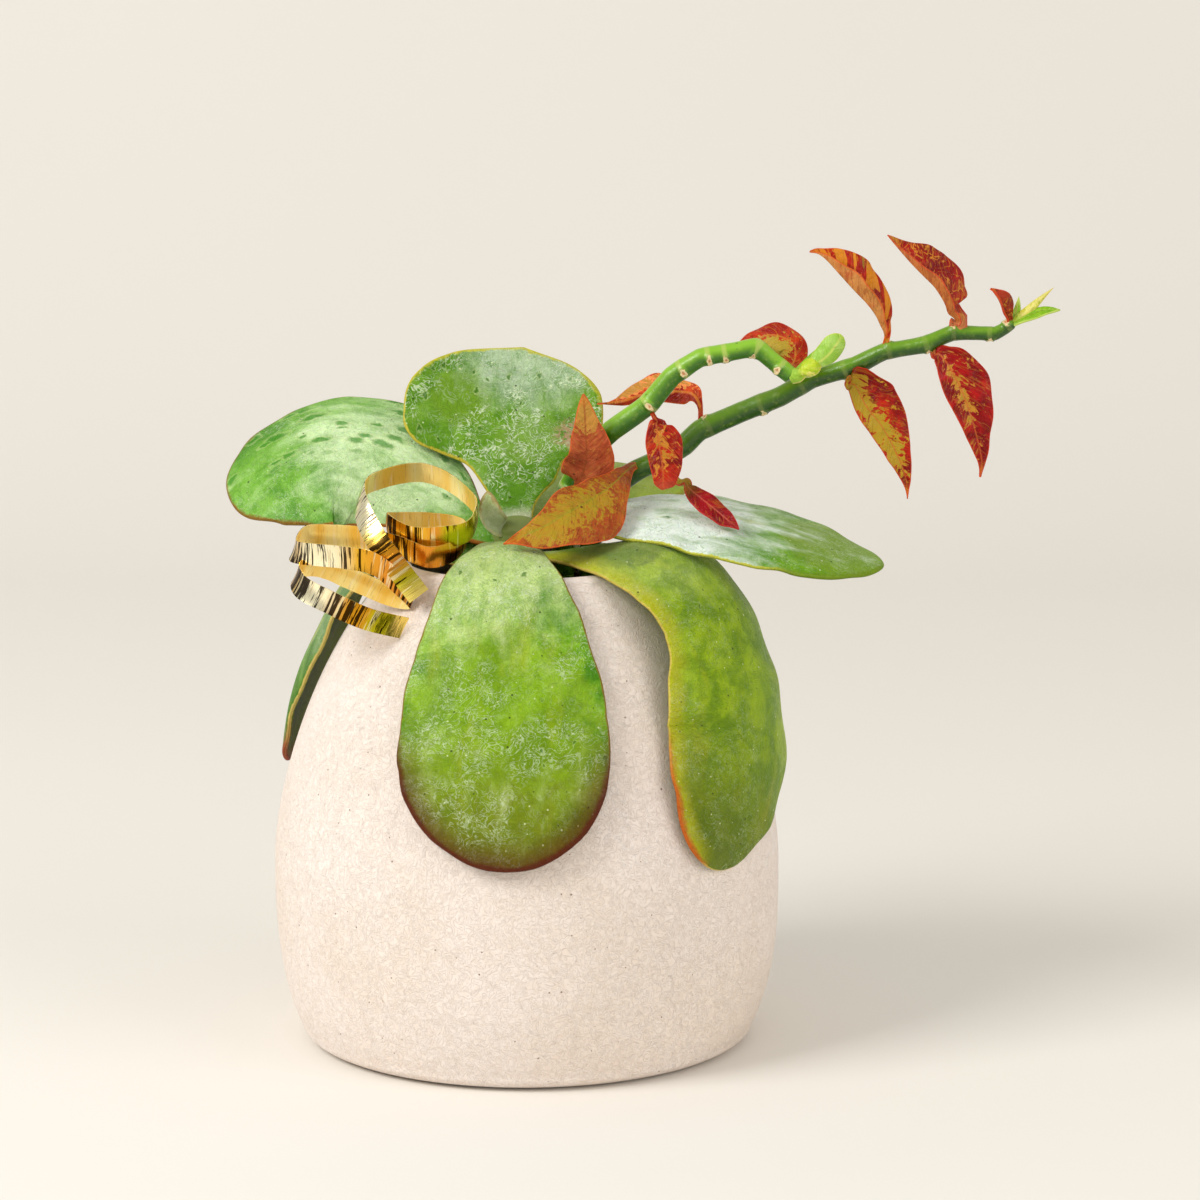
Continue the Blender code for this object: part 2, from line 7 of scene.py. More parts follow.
import bmesh
import bpy
import numpy as np
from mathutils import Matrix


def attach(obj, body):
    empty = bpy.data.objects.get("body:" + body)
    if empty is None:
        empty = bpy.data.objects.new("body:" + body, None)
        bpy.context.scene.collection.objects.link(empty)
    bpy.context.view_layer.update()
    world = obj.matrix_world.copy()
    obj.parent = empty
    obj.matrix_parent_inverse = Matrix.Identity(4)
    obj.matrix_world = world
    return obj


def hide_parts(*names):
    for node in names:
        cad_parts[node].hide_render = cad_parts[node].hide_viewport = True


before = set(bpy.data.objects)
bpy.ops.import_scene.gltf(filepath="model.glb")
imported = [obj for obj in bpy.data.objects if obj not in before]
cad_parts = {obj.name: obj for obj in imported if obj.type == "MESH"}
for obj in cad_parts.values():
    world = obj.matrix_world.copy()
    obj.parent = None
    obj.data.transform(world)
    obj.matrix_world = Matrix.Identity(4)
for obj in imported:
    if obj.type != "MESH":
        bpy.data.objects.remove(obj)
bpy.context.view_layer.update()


# The studio
# A seamless pale sweep carries the pot and rises behind it. One broad soft lamp stands high on
# the left, a weaker one fills from the right, and a pale sky lights the rest.

MM = 0.001


def tint(red, green, blue):
    """A colour judged on a screen, 0 to 255 a channel, as the linear values a shader takes."""
    shares = [channel / 255 for channel in (red, green, blue)]
    return (*[s / 12.92 if s <= 0.04045 else ((s + 0.055) / 1.055) ** 2.4 for s in shares], 1.0)


class Signal:
    """A socket of a finish. Arithmetic on it adds Math nodes."""

    def __init__(self, finish, socket):
        self.finish = finish
        self.socket = socket

    def math(self, operation, first, second=0.0):
        """A Math node on one or two values."""
        return self.finish.node("Math", {"operation": operation}, {0: first, 1: second})

    def __add__(self, other):
        return self.math("ADD", self, other)

    def __radd__(self, other):
        return self.math("ADD", other, self)

    def __sub__(self, other):
        return self.math("SUBTRACT", self, other)

    def __rsub__(self, other):
        return self.math("SUBTRACT", other, self)

    def __mul__(self, other):
        return self.math("MULTIPLY", self, other)

    def __rmul__(self, other):
        return self.math("MULTIPLY", other, self)

    def __truediv__(self, other):
        return self.math("DIVIDE", self, other)

    def __abs__(self):
        return self.math("ABSOLUTE", self)

    def between(self, low, high):
        """0 below low and 1 above high, with a smooth step from one to the other."""
        ends = {0: self, 1: low, 2: high, 3: 0.0, 4: 1.0}
        if low > high:
            ends = {0: self, 1: high, 2: low, 3: 1.0, 4: 0.0}
        return self.finish.node("MapRange", {"interpolation_type": "SMOOTHSTEP"}, ends)


class Finish:
    """A surface finish under way: a Principled shader, its constant values and its patterns."""

    def __init__(self, name, **constants):
        self.material = bpy.data.materials.new(name)
        self.material.use_nodes = True
        self.tree = self.material.node_tree
        self.shader = self.tree.nodes["Principled BSDF"]
        self.coat = None
        for socket, value in constants.items():
            self.shader.inputs[socket.replace("_", " ")].default_value = value

    def node(self, kind, settings, sockets, out=0):
        """One node of any kind. Settings come first, then the values or links of its sockets."""
        made = self.tree.nodes.new("ShaderNode" + kind)
        for key, value in settings.items():
            if key == "stops":
                ramp = made.color_ramp.elements
                for place, colour in value[:-2]:
                    ramp.new(place)
                for stop, (place, colour) in zip(ramp, value):
                    stop.position, stop.color = place, colour
            else:
                setattr(made, key, value)
        for key, value in sockets.items():
            if isinstance(value, Signal):
                self.tree.links.new(value.socket, made.inputs[key])
            else:
                made.inputs[key].default_value = value
        return Signal(self, made.outputs[out])

    def feed(self, socket, signal):
        """Links a signal to a socket of the shader."""
        self.tree.links.new(signal.socket, self.shader.inputs[socket])

    def place(self, seed=0.0):
        """Where a point of the piece is, in millimetres, moved by a seed that changes the pattern."""
        raw = self.node("TexCoord", {}, {}, "Object")
        shift = (seed, seed * 0.7, seed * 1.3)
        return self.node("VectorMath", {"operation": "MULTIPLY_ADD"}, {0: raw, 1: (1000.0,) * 3, 2: shift})

    def marked(self, attribute, out="Vector"):
        """What the mesh carries under a name, as a vector or as one value."""
        return self.node("Attribute", {"attribute_name": attribute}, {}, out)

    def part(self, vector, index):
        """One number of a vector: 0, 1 or 2."""
        return self.node("SeparateXYZ", {}, {0: vector}, index)

    def stretched(self, where, across, along, through=1.0, seed=0.0):
        """A place stretched by a factor each way, and moved by a seed."""
        shift = (seed, seed * 0.7, seed * 1.3)
        factors = (across, along, through)
        return self.node("VectorMath", {"operation": "MULTIPLY_ADD"}, {0: where, 1: factors, 2: shift})

    def cloud(self, where, size, detail=2.0, rough=0.5, bend=0.0):
        """A soft random value, about 0.5 on average, with patches about a size in mm apart."""
        sockets = {"Scale": 1 / size, "Detail": detail, "Roughness": rough, "Distortion": bend}
        return self.node("TexNoise", {}, {"Vector": where, **sockets})

    def specks(self, where, apart, radius, share, edge=0.3, flat=True):
        """Round marks of a radius, about so far apart in mm, at a share of the places."""
        cell = {"Vector": where, "Scale": 1 / apart, "Randomness": 1.0}
        kind = {"voronoi_dimensions": "2D" if flat else "3D"}
        distance = self.node("TexVoronoi", kind, cell, "Distance") * apart
        draw = self.node("TexVoronoi", kind, cell, "Color")
        chance = self.node("SeparateColor", {}, {0: draw}, 0)
        size = self.node("SeparateColor", {}, {0: draw}, 1)
        mark = (distance / (size * 0.8 + 0.5)).between(radius * (1 + edge), radius * (1 - edge))
        return mark * chance.between(share + 0.001, share - 0.001)

    def lines(self, where, size, width, bend=1.2):
        """Thin wandering lines, where a soft random value passes its middle."""
        return abs(self.cloud(where, size, 1.5, 0.5, bend) - 0.5).between(width, width * 0.4)

    def shaken(self, where, size, amount):
        """A place pushed about at random by up to an amount in mm, which makes marks irregular."""
        push = self.node("TexNoise", {}, {"Vector": where, "Scale": 1 / size, "Detail": 2.0}, "Color")
        level = self.node("VectorMath", {"operation": "SUBTRACT"}, {0: push, 1: (0.5, 0.5, 0.5)})
        return self.node("VectorMath", {"operation": "MULTIPLY_ADD"}, {0: level, 1: (amount,) * 3, 2: where})

    def blend(self, share, first, second):
        """The first colour where share is 0, and the second where it is 1."""
        sockets = {0: share}
        for place, colour in ((6, first), (7, second)):
            sockets[place] = colour if isinstance(colour, Signal) else tint(*colour)
        return self.node("Mix", {"data_type": "RGBA", "clamp_factor": True}, sockets, 2)

    def paint(self, share, colour):
        """Lays a colour over the coats so far, where share is 1."""
        self.coat = self.blend(share, self.coat, colour)

    def relief(self, height):
        """Raises the surface by a height in millimetres."""
        bump = self.node("Bump", {}, {"Height": height, "Distance": MM, "Strength": 1.0})
        self.feed("Normal", bump)


def mesh_object(name, points, faces):
    """A new smooth-shaded object from points in millimetres."""
    mesh = bpy.data.meshes.new(name)
    mesh.from_pydata((np.asarray(points) * MM).tolist(), [], faces)
    mesh.update()
    mesh.shade_smooth()
    made = bpy.data.objects.new(name, mesh)
    bpy.context.scene.collection.objects.link(made)
    return made


SWEEP_SIDE = 3000.0
SWEEP_BACK = 900.0
SWEEP_BEND = 500.0
SWEEP_TOP = 2600.0
BEND_STEPS = 25


def make_sweep():
    """A sheet that lies flat, bends upward behind the pot and stands."""
    turn = np.radians(np.linspace(0, 90, BEND_STEPS))
    bend_y = SWEEP_BACK + SWEEP_BEND * np.sin(turn)
    bend_z = SWEEP_BEND * (1 - np.cos(turn))
    line = [(-SWEEP_SIDE, 0.0), *zip(bend_y, bend_z), (SWEEP_BACK + SWEEP_BEND, SWEEP_TOP)]
    points = [(x, y, z) for y, z in line for x in (-SWEEP_SIDE, SWEEP_SIDE)]
    faces = [(2 * i, 2 * i + 1, 2 * i + 3, 2 * i + 2) for i in range(len(line) - 1)]
    return mesh_object("studio_sweep", points, faces)


paper = Finish("pale_paper", Roughness=0.9)
paper_cloud = paper.cloud(paper.place(), 700.0)
paper.feed("Base Color", paper.blend(paper_cloud, (237, 233, 225), (241, 237, 230)))
sweep = make_sweep()
sweep.data.materials.append(paper.material)

CAMERA_TARGET = (24.4, 0.0, 148.0)
CAMERA_RANGE = 1400.0
CAMERA_DOWN = math.radians(10.0)
CAMERA_LENS = 126.0
CAMERA_SENSOR = 36.0
CAMERA_FAR = 20.0

camera = bpy.data.objects.new("camera", bpy.data.cameras.new("camera"))
bpy.context.scene.collection.objects.link(camera)
camera.data.lens = CAMERA_LENS
camera.data.sensor_width = CAMERA_SENSOR
camera.data.clip_end = CAMERA_FAR
camera.location = (CAMERA_TARGET[0] * MM,
                   (CAMERA_TARGET[1] - CAMERA_RANGE * math.cos(CAMERA_DOWN)) * MM,
                   (CAMERA_TARGET[2] + CAMERA_RANGE * math.sin(CAMERA_DOWN)) * MM)
camera.rotation_euler = (math.pi / 2 - CAMERA_DOWN, 0.0, 0.0)
bpy.context.scene.camera = camera


LAMPS_AIM = (0.0, 0.0, 0.13)


def hang_lamp(name, at, side, power, colour):
    """A square soft lamp of a side in metres, which looks at the pot's upper half."""
    lamp = bpy.data.objects.new(name, bpy.data.lights.new(name, "AREA"))
    bpy.context.scene.collection.objects.link(lamp)
    lamp.data.size = side
    lamp.data.energy = power
    lamp.data.color = colour
    away = np.array(at) - np.array(LAMPS_AIM)
    flat = math.hypot(away[0], away[1])
    lamp.location = at
    lamp.rotation_euler = (math.atan2(flat, away[2]), 0.0, math.atan2(away[1], away[0]) + math.pi / 2)


hang_lamp("key_lamp", at=(-1.3, -0.9, 1.35), side=0.9, power=26.0, colour=(1.0, 0.99, 0.97))
hang_lamp("fill_lamp", at=(1.5, -1.1, 0.9), side=1.2, power=10.0, colour=(1.0, 0.97, 0.94))

SKY_COLOUR = (1.0, 0.985, 0.965, 1.0)
SKY_STRENGTH = 0.57

sky = bpy.data.worlds.new("pale_sky")
sky.use_nodes = True
sky_light = sky.node_tree.nodes["Background"].inputs
sky_light["Color"].default_value = SKY_COLOUR
sky_light["Strength"].default_value = SKY_STRENGTH
bpy.context.scene.world = sky
bpy.context.scene.view_settings.view_transform = "Standard"


# The pot
# One vessel of unglazed ceramic, slip cast in the shape of an egg with its top cut off. Its
# matt skin has a fine pressed grain like orange peel and a scatter of brown pinholes.

POT_HEIGHT = 162.0
BELLY_RADIUS = 84.6
BELLY_HEIGHT = 62.0
SHOULDER_REACH = 124.0
SHOULDER_FULLNESS = 1.7
FOOT_REACH = 88.0
FOOT_FULLNESS = 3.0
BASE_RADIUS = 66.0
BASE_ROUNDING = 5.0
WALL = 6.0
FLOOR = 8.0
FLOOR_INSET = 12.0
CORNER_HEIGHT = 14.0
WALL_FROM = 26.0
WALL_TO = 154.0
LIP_DROP = 2.2
POT_SIDES = 288
POT_SWELLS_APART = 70.0
POT_UNEVENNESS = 0.18


def pot_radius(height):
    """The outer radius of the pot at a height above its base."""
    if height >= BELLY_HEIGHT:
        reach, fullness = SHOULDER_REACH, SHOULDER_FULLNESS
    else:
        reach, fullness = FOOT_REACH, FOOT_FULLNESS
    share = abs(height - BELLY_HEIGHT) / reach
    return BELLY_RADIUS * (1 - share**fullness) ** (1 / fullness)


def quarter(centre, across, up, start, end, count):
    """Points of an elliptical arc about centre, from start to end in degrees."""
    angles = np.radians(np.linspace(start, end, count))
    return [(centre[0] + across * math.cos(a), centre[1] + up * math.sin(a)) for a in angles]


def pot_profile():
    """From the middle of the floor inside, up the wall, over the lip and down to the base."""
    lip_height = POT_HEIGHT - LIP_DROP
    floor_edge = pot_radius(FLOOR) - WALL - FLOOR_INSET
    inside = [(0, FLOOR), (floor_edge * 0.5, FLOOR), (floor_edge, FLOOR)]
    inside += [(pot_radius(CORNER_HEIGHT) - WALL - 1, CORNER_HEIGHT)]
    inside += [(pot_radius(h) - WALL, h) for h in np.linspace(WALL_FROM, WALL_TO, 17)]
    middle = pot_radius(lip_height) - WALL / 2
    lip = quarter((middle, lip_height), WALL / 2, LIP_DROP, 180, 0, 17)
    outside = [(pot_radius(h), h) for h in np.linspace(lip_height - 1, BASE_ROUNDING + 1, 110)]
    foot_radius = pot_radius(BASE_ROUNDING)
    foot = quarter((BASE_RADIUS, BASE_ROUNDING), foot_radius - BASE_RADIUS, BASE_ROUNDING, 0, -90, 12)
    return [*inside, *lip, *outside, *foot, (BASE_RADIUS * 0.5, 0), (0, 0)]


SWELL_WAVES = 7


def swell(points, apart, seed):
    """Gentle unevenness, about -1 to 1, at each point, with its rises about so far apart in mm."""
    draw = np.random.default_rng(seed)
    total = np.zeros(points.shape[:-1])
    for _ in range(SWELL_WAVES):
        way = draw.normal(size=3)
        way *= 2 * math.pi / apart / np.linalg.norm(way)
        total += np.sin(points @ way + draw.uniform(0, 2 * math.pi))
    return total / 3


def tube_faces(rows, ring):
    """The faces between rows of points that each close into a ring."""
    faces = []
    for low in range(0, (rows - 1) * ring, ring):
        for side in range(ring):
            after = (side + 1) % ring
            faces.append((low + side, low + ring + side, low + ring + after, low + after))
    return faces


def close_ends(rows, ring):
    """The faces of a tube of rows of points, with a fan at each end to one more point."""
    faces = tube_faces(rows, ring)
    first, last, edge = rows * ring, rows * ring + 1, (rows - 1) * ring
    for side in range(ring):
        after = (side + 1) % ring
        faces += [(first, side, after), (last, edge + after, edge + side)]
    return faces


def turned(name, profile, sides, centre=(0, 0)):
    """A closed skin turned about an upright line, from a profile that starts and ends on it and
    keeps the outside on its left."""
    angles = np.linspace(0, 2 * math.pi, sides, endpoint=False)
    rings = np.array(profile[1:-1], float)
    points = np.empty((len(rings), sides, 3))
    points[..., 0] = centre[0] + rings[:, :1] * np.cos(angles)
    points[..., 1] = centre[1] + rings[:, :1] * np.sin(angles)
    points[..., 2] = rings[:, 1:]
    ends = [(*centre, profile[0][1]), (*centre, profile[-1][1])]
    return mesh_object(name, np.vstack([points.reshape(-1, 3), ends]), close_ends(len(rings), sides))


FLAT_FOOT = 6.0


def uneven(obj, apart, amount, seed):
    """Moves the points of a skin along its normals, in millimetres, but less near the floor."""
    count = len(obj.data.vertices)
    places = np.empty(count * 3)
    normals = np.empty(count * 3)
    obj.data.vertices.foreach_get("co", places)
    obj.data.vertex_normals.foreach_get("vector", normals)
    places = places.reshape(-1, 3)
    free = np.clip(places[:, 2] / MM / FLAT_FOOT, 0, 1)
    lift = swell(places / MM, apart, seed) * amount * free * MM
    places += normals.reshape(-1, 3) * lift[:, None]
    obj.data.vertices.foreach_set("co", places.reshape(-1))
    obj.data.update()


def dress(obj, finish, node):
    """The piece stands for a node of the frame, rides with it and takes a finish."""
    obj.data.materials.append(finish.material)
    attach(obj, "root")
    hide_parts(node)


pot_clay = Finish("matt_clay", Roughness=0.82, Specular_IOR_Level=0.32)
at_pot = pot_clay.place()
clay_warmth = pot_clay.cloud(at_pot, 55.0, 3.0)
pot_clay.coat = pot_clay.blend(clay_warmth.between(0.3, 0.7), (245, 234, 226), (239, 225, 212))
clay_grain = pot_clay.cloud(at_pot, 2.6, 2.0, 0.55, 1.1)
pot_clay.paint(clay_grain.between(0.62, 0.4) * 0.3, (230, 210, 192))
pin_holes = pot_clay.specks(at_pot, 3.6, 0.24, 0.4, flat=False)
faint_holes = pot_clay.specks(at_pot, 2.0, 0.16, 0.4, flat=False)
pot_clay.paint(faint_holes * 0.5, (196, 160, 132))
pot_clay.paint(pin_holes * 0.85, (128, 92, 68))
pot_clay.feed("Base Color", pot_clay.coat)
pot_clay.feed("Roughness", clay_grain * 0.2 + 0.72)
worm = pot_clay.lines(at_pot, 3.0, 0.085, 2.4)
pot_clay.relief(worm * 0.15 + clay_grain * 0.1 - pin_holes * 0.16 - faint_holes * 0.06)

pot = turned("clay_pot", pot_profile(), POT_SIDES)
uneven(pot, POT_SWELLS_APART, POT_UNEVENNESS, 4)
dress(pot, pot_clay, "pot")


# The potting soil
# Dark damp compost fills the pot to 12 mm below the lip. It is loose stuff: bark crumbs and
# grit of many sizes lie pressed together on a lumpy top.

SOIL_TOP = 150.0
SOIL_GAP = 0.4
SOIL_SIDES = 144
LUMPS_APART = 9.0
LUMP_DEPTH = 0.5
CRUMBS = 420
CRUMB_RANGE = (0.8, 2.6)


def soil_profile():
    """From the middle of the top, out to the wall and down to the floor, clear of both."""
    top_radius = pot_radius(SOIL_TOP) - WALL - SOIL_GAP - 0.6
    top = [(r, SOIL_TOP) for r in np.linspace(0, top_radius, 44)]
    wall = [(pot_radius(h) - WALL - SOIL_GAP - 0.2, h) for h in np.linspace(SOIL_TOP - 2, WALL_FROM, 14)]
    corner = [(pot_radius(CORNER_HEIGHT) - WALL - 2, CORNER_HEIGHT + 0.5),
              (pot_radius(FLOOR) - WALL - FLOOR_INSET - 1, FLOOR + SOIL_GAP)]
    return [*top, *wall, *corner, (0, FLOOR + SOIL_GAP)]


def add_crumbs(soil):
    """Presses crumbs of bark and grit into the soil's top."""
    draw = np.random.default_rng(11)
    heap = bmesh.new()
    heap.from_mesh(soil.data)
    reach = pot_radius(SOIL_TOP) - WALL - SOIL_GAP - CRUMB_RANGE[1] - 1
    for _ in range(CRUMBS):
        size = draw.uniform(*CRUMB_RANGE) ** 1.4 / 1.6
        way, out = draw.uniform(0, 2 * math.pi), reach * math.sqrt(draw.uniform(0.05, 1))
        crumb = bmesh.ops.create_icosphere(heap, subdivisions=1, radius=size * MM)["verts"]
        centre = np.array([out * math.cos(way), out * math.sin(way), SOIL_TOP + size * 0.2])
        squash = draw.uniform(0.6, 1.2, 3)
        for vertex in crumb:
            rough = 1 + draw.uniform(-0.22, 0.22)
            vertex.co = (np.array(vertex.co) * squash * rough + centre * MM).tolist()
    heap.to_mesh(soil.data)
    heap.free()


compost = Finish("dark_compost", Roughness=0.95, Specular_IOR_Level=0.2)
at_soil = compost.place()
compost_mix = compost.cloud(at_soil, 3.0, 4.0, 0.65)
compost.coat = compost.blend(compost_mix.between(0.35, 0.65), (38, 27, 20), (84, 62, 44))
bark = compost.specks(at_soil, 3.4, 0.5, 0.12, flat=False)
compost.paint(bark, (150, 128, 100))
compost.feed("Base Color", compost.coat)
compost.relief(compost_mix * 0.9 + compost.cloud(at_soil, 0.8, 3.0, 0.6) * 0.35)

soil = turned("potting_soil_top", soil_profile(), SOIL_SIDES)
uneven(soil, LUMPS_APART, -LUMP_DEPTH, 21)
add_crumbs(soil)
dress(soil, compost, "potting_soil")


# The crown
# The short thick stem of the paddle plant, half sunk in the soil. It is fleshy and pale green,
# corky brown low down, and ringed by the scars of old leaves.

CROWN_AT = (-3.0, -4.0)
CROWN_RADIUS = 8.5
CROWN_TOP = 177.0
CROWN_DOME = 5.0
CROWN_FOOT = 113.0
CROWN_RING_PITCH = 4.2
CROWN_RING_DEPTH = 0.35
CROWN_SIDES = 64
CORK_BELOW = 160.0
CORK_ENDS = 172.0


def crown_profile():
    """From the top of the dome down to the foot's middle, with a shallow groove at each old leaf."""
    heights = np.linspace(CROWN_FOOT, CROWN_TOP - CROWN_DOME, 70)
    grooves = 0.5 + 0.5 * np.cos(2 * math.pi * heights / CROWN_RING_PITCH)
    ringed = CROWN_RADIUS - CROWN_RING_DEPTH * grooves
    dome = quarter((0, CROWN_TOP - CROWN_DOME), CROWN_RADIUS, CROWN_DOME, 0, 90, 12)
    return [(0, CROWN_FOOT), *zip(ringed, heights), *dome[1:-1], (0, CROWN_TOP)][::-1]


crown_skin = Finish("crown_skin", Roughness=0.6)
at_crown = crown_skin.place()
crown_cork = crown_skin.cloud(at_crown, 3.0, 4.0, 0.6)
crown_height = crown_skin.part(at_crown, 2)
corky = (crown_height + crown_cork * 14).between(CORK_ENDS, CORK_BELOW)
crown_green = crown_skin.blend(crown_cork, (108, 132, 58), (150, 160, 88))
crown_skin.feed("Base Color", crown_skin.blend(corky, crown_green, (122, 92, 60)))
crown_skin.relief(crown_cork * 0.3)

crown = turned("paddle_crown_stem", crown_profile(), CROWN_SIDES, CROWN_AT)
dress(crown, crown_skin, "paddle_crown")


# The paddle leaves
# Thick round-ended leaves, fleshy and slightly see-through, under a wax that is rubbed white
# in places. Each grows from the crown, arches by its own weight and has a thin coloured rim.

@dataclass
class Blade:
    """One leaf: a spine of points from root to tip, and the outline and section along it. An
    uneven outline is given as stations: a share of the length, then the reach to both sides, or
    to the right and to the left. A trim is its side, place, spread and amount."""

    spine: tuple
    face: tuple
    width: float
    root: float
    face_tip: tuple = None
    belly: float = 0.7
    swell: float = 1.2
    tip: float = 2.0
    point: float = 2.0
    arch: float = 110.0
    thick: float = 4.0
    rim: float = 1.6
    fold: tuple = (0.0, 0.0)
    wave: float = 0.3
    wave_length: float = 21.0
    dents: float = 0.35
    trims: tuple = ()
    outline: tuple = ()
    seed: int = 1


def unit(rows):
    """The vectors at a length of 1."""
    return rows / np.linalg.norm(rows, axis=-1, keepdims=True)


CURVE_STEPS = 24


def smooth_path(points, count):
    """A smooth curve through the points, read at so many places evenly along its length, or at
    the given shares of it."""
    points = np.array(points, float)
    before = 2 * points[0] - points[1]
    after = 2 * points[-1] - points[-2]
    knots = np.vstack([before, points, after])
    shares = np.linspace(0, 1, CURVE_STEPS, endpoint=False)[:, None]
    pieces = []
    for a, b, c, d in zip(knots, knots[1:], knots[2:], knots[3:]):
        pieces.append(0.5 * (2 * b + (c - a) * shares + (2 * a - 5 * b + 4 * c - d) * shares**2
                             + (3 * b - a - 3 * c + d) * shares**3))
    fine = np.vstack([*pieces, points[-1:]])
    steps = np.linalg.norm(np.diff(fine[:, :3], axis=0), axis=1)
    along = np.concatenate([[0], np.cumsum(steps)])
    if np.ndim(count) == 0:
        count = np.linspace(0, 1, count)
    wanted = np.asarray(count) * along[-1]
    return np.stack([np.interp(wanted, along, column) for column in fine.T], axis=1)


def half_width(blade, share):
    """Half the width at a share of the length: it opens up to the belly, then rounds to the tip."""
    if share < blade.belly:
        opened = math.sin(math.pi / 2 * (share / blade.belly) ** blade.swell)
        return (blade.root + (blade.width - blade.root) * opened) / 2
    past = (share - blade.belly) / (1 - blade.belly)
    return blade.width / 2 * max(0.0, 1 - past**blade.tip) ** (1 / blade.point)


def ease(values):
    """A smooth step from 0 at 0 to 1 at 1."""
    held = np.clip(values, 0, 1)
    return held * held * (3 - 2 * held)


NICKS_APART = (9.0, 4.0, 2.2)
NICK_DEPTH = 0.12


def half_widths(blade, shares, length):
    """The leaf's reach to its right and to its left at each share, with its trims and nicks."""
    half = np.array([half_width(blade, share) for share in shares])
    draw = np.random.default_rng(blade.seed + 500)
    reaches = []
    for side in (1, -1):
        reach = half.copy()
        if blade.outline:
            to_side = [(at * length, either[0] if side > 0 else either[-1]) for at, *either in blade.outline]
            rounded = smooth_path(to_side, 400)
            reach = np.interp(shares * length, rounded[:, 0], rounded[:, 1])
        for of_side, place, spread, amount in blade.trims:
            if of_side == side:
                reach += amount * np.exp(-((shares - place) / spread) ** 2) * ease(half / 3)
        for apart in NICKS_APART:
            knots = np.arange(0, length + apart, apart)
            nicks = draw.uniform(-1, 1, len(knots))
            reach += NICK_DEPTH * np.interp(shares * length, knots, nicks) * ease(half / 4) * apart / 4
        reaches.append(np.maximum(reach, 0.0))
    return reaches


SECTION_STEPS = 60
FOLD_ROOM = 0.1


def across_section(blade, reach, sides, shares, side):
    """One half of the section at each row: how far out and up its points lie, and their slope.
    The blade arches evenly and folds at its midrib."""
    steps = np.linspace(0, 1, SECTION_STEPS + 1)
    which = 0 if side > 0 else 1
    grown = ease(shares / 0.25)[:, None]
    slope = -steps * reach[:, None] / blade.arch
    slope = slope + math.radians(blade.fold[which]) * ease(steps / FOLD_ROOM) * grown
    stride = reach[:, None] / SECTION_STEPS
    middle = (slope[:, 1:] + slope[:, :-1]) / 2
    start = np.zeros((len(shares), 1))
    out = np.hstack([start, np.cumsum(np.cos(middle) * stride, axis=1)])
    up = np.hstack([start, np.cumsum(np.sin(middle) * stride, axis=1)])
    spot = np.abs(sides) * SECTION_STEPS
    low = np.minimum(spot.astype(int), SECTION_STEPS - 1)
    rest = spot - low
    return [line[:, low] * (1 - rest) + line[:, low + 1] * rest for line in (out, up, slope)]


def mark_points(obj, name, values):
    """Gives each point of a mesh a value, or a vector, that its finish reads by name."""
    values = np.asarray(values, np.float32)
    kind, field = ("FLOAT_VECTOR", "vector") if values.ndim == 2 else ("FLOAT", "value")
    obj.data.attributes.new(name, kind, "POINT").data.foreach_set(field, values.reshape(-1))


LOWER_ROWS = 0.55
DENTS_APART = 26.0
RIM_ROUNDING = 0.6


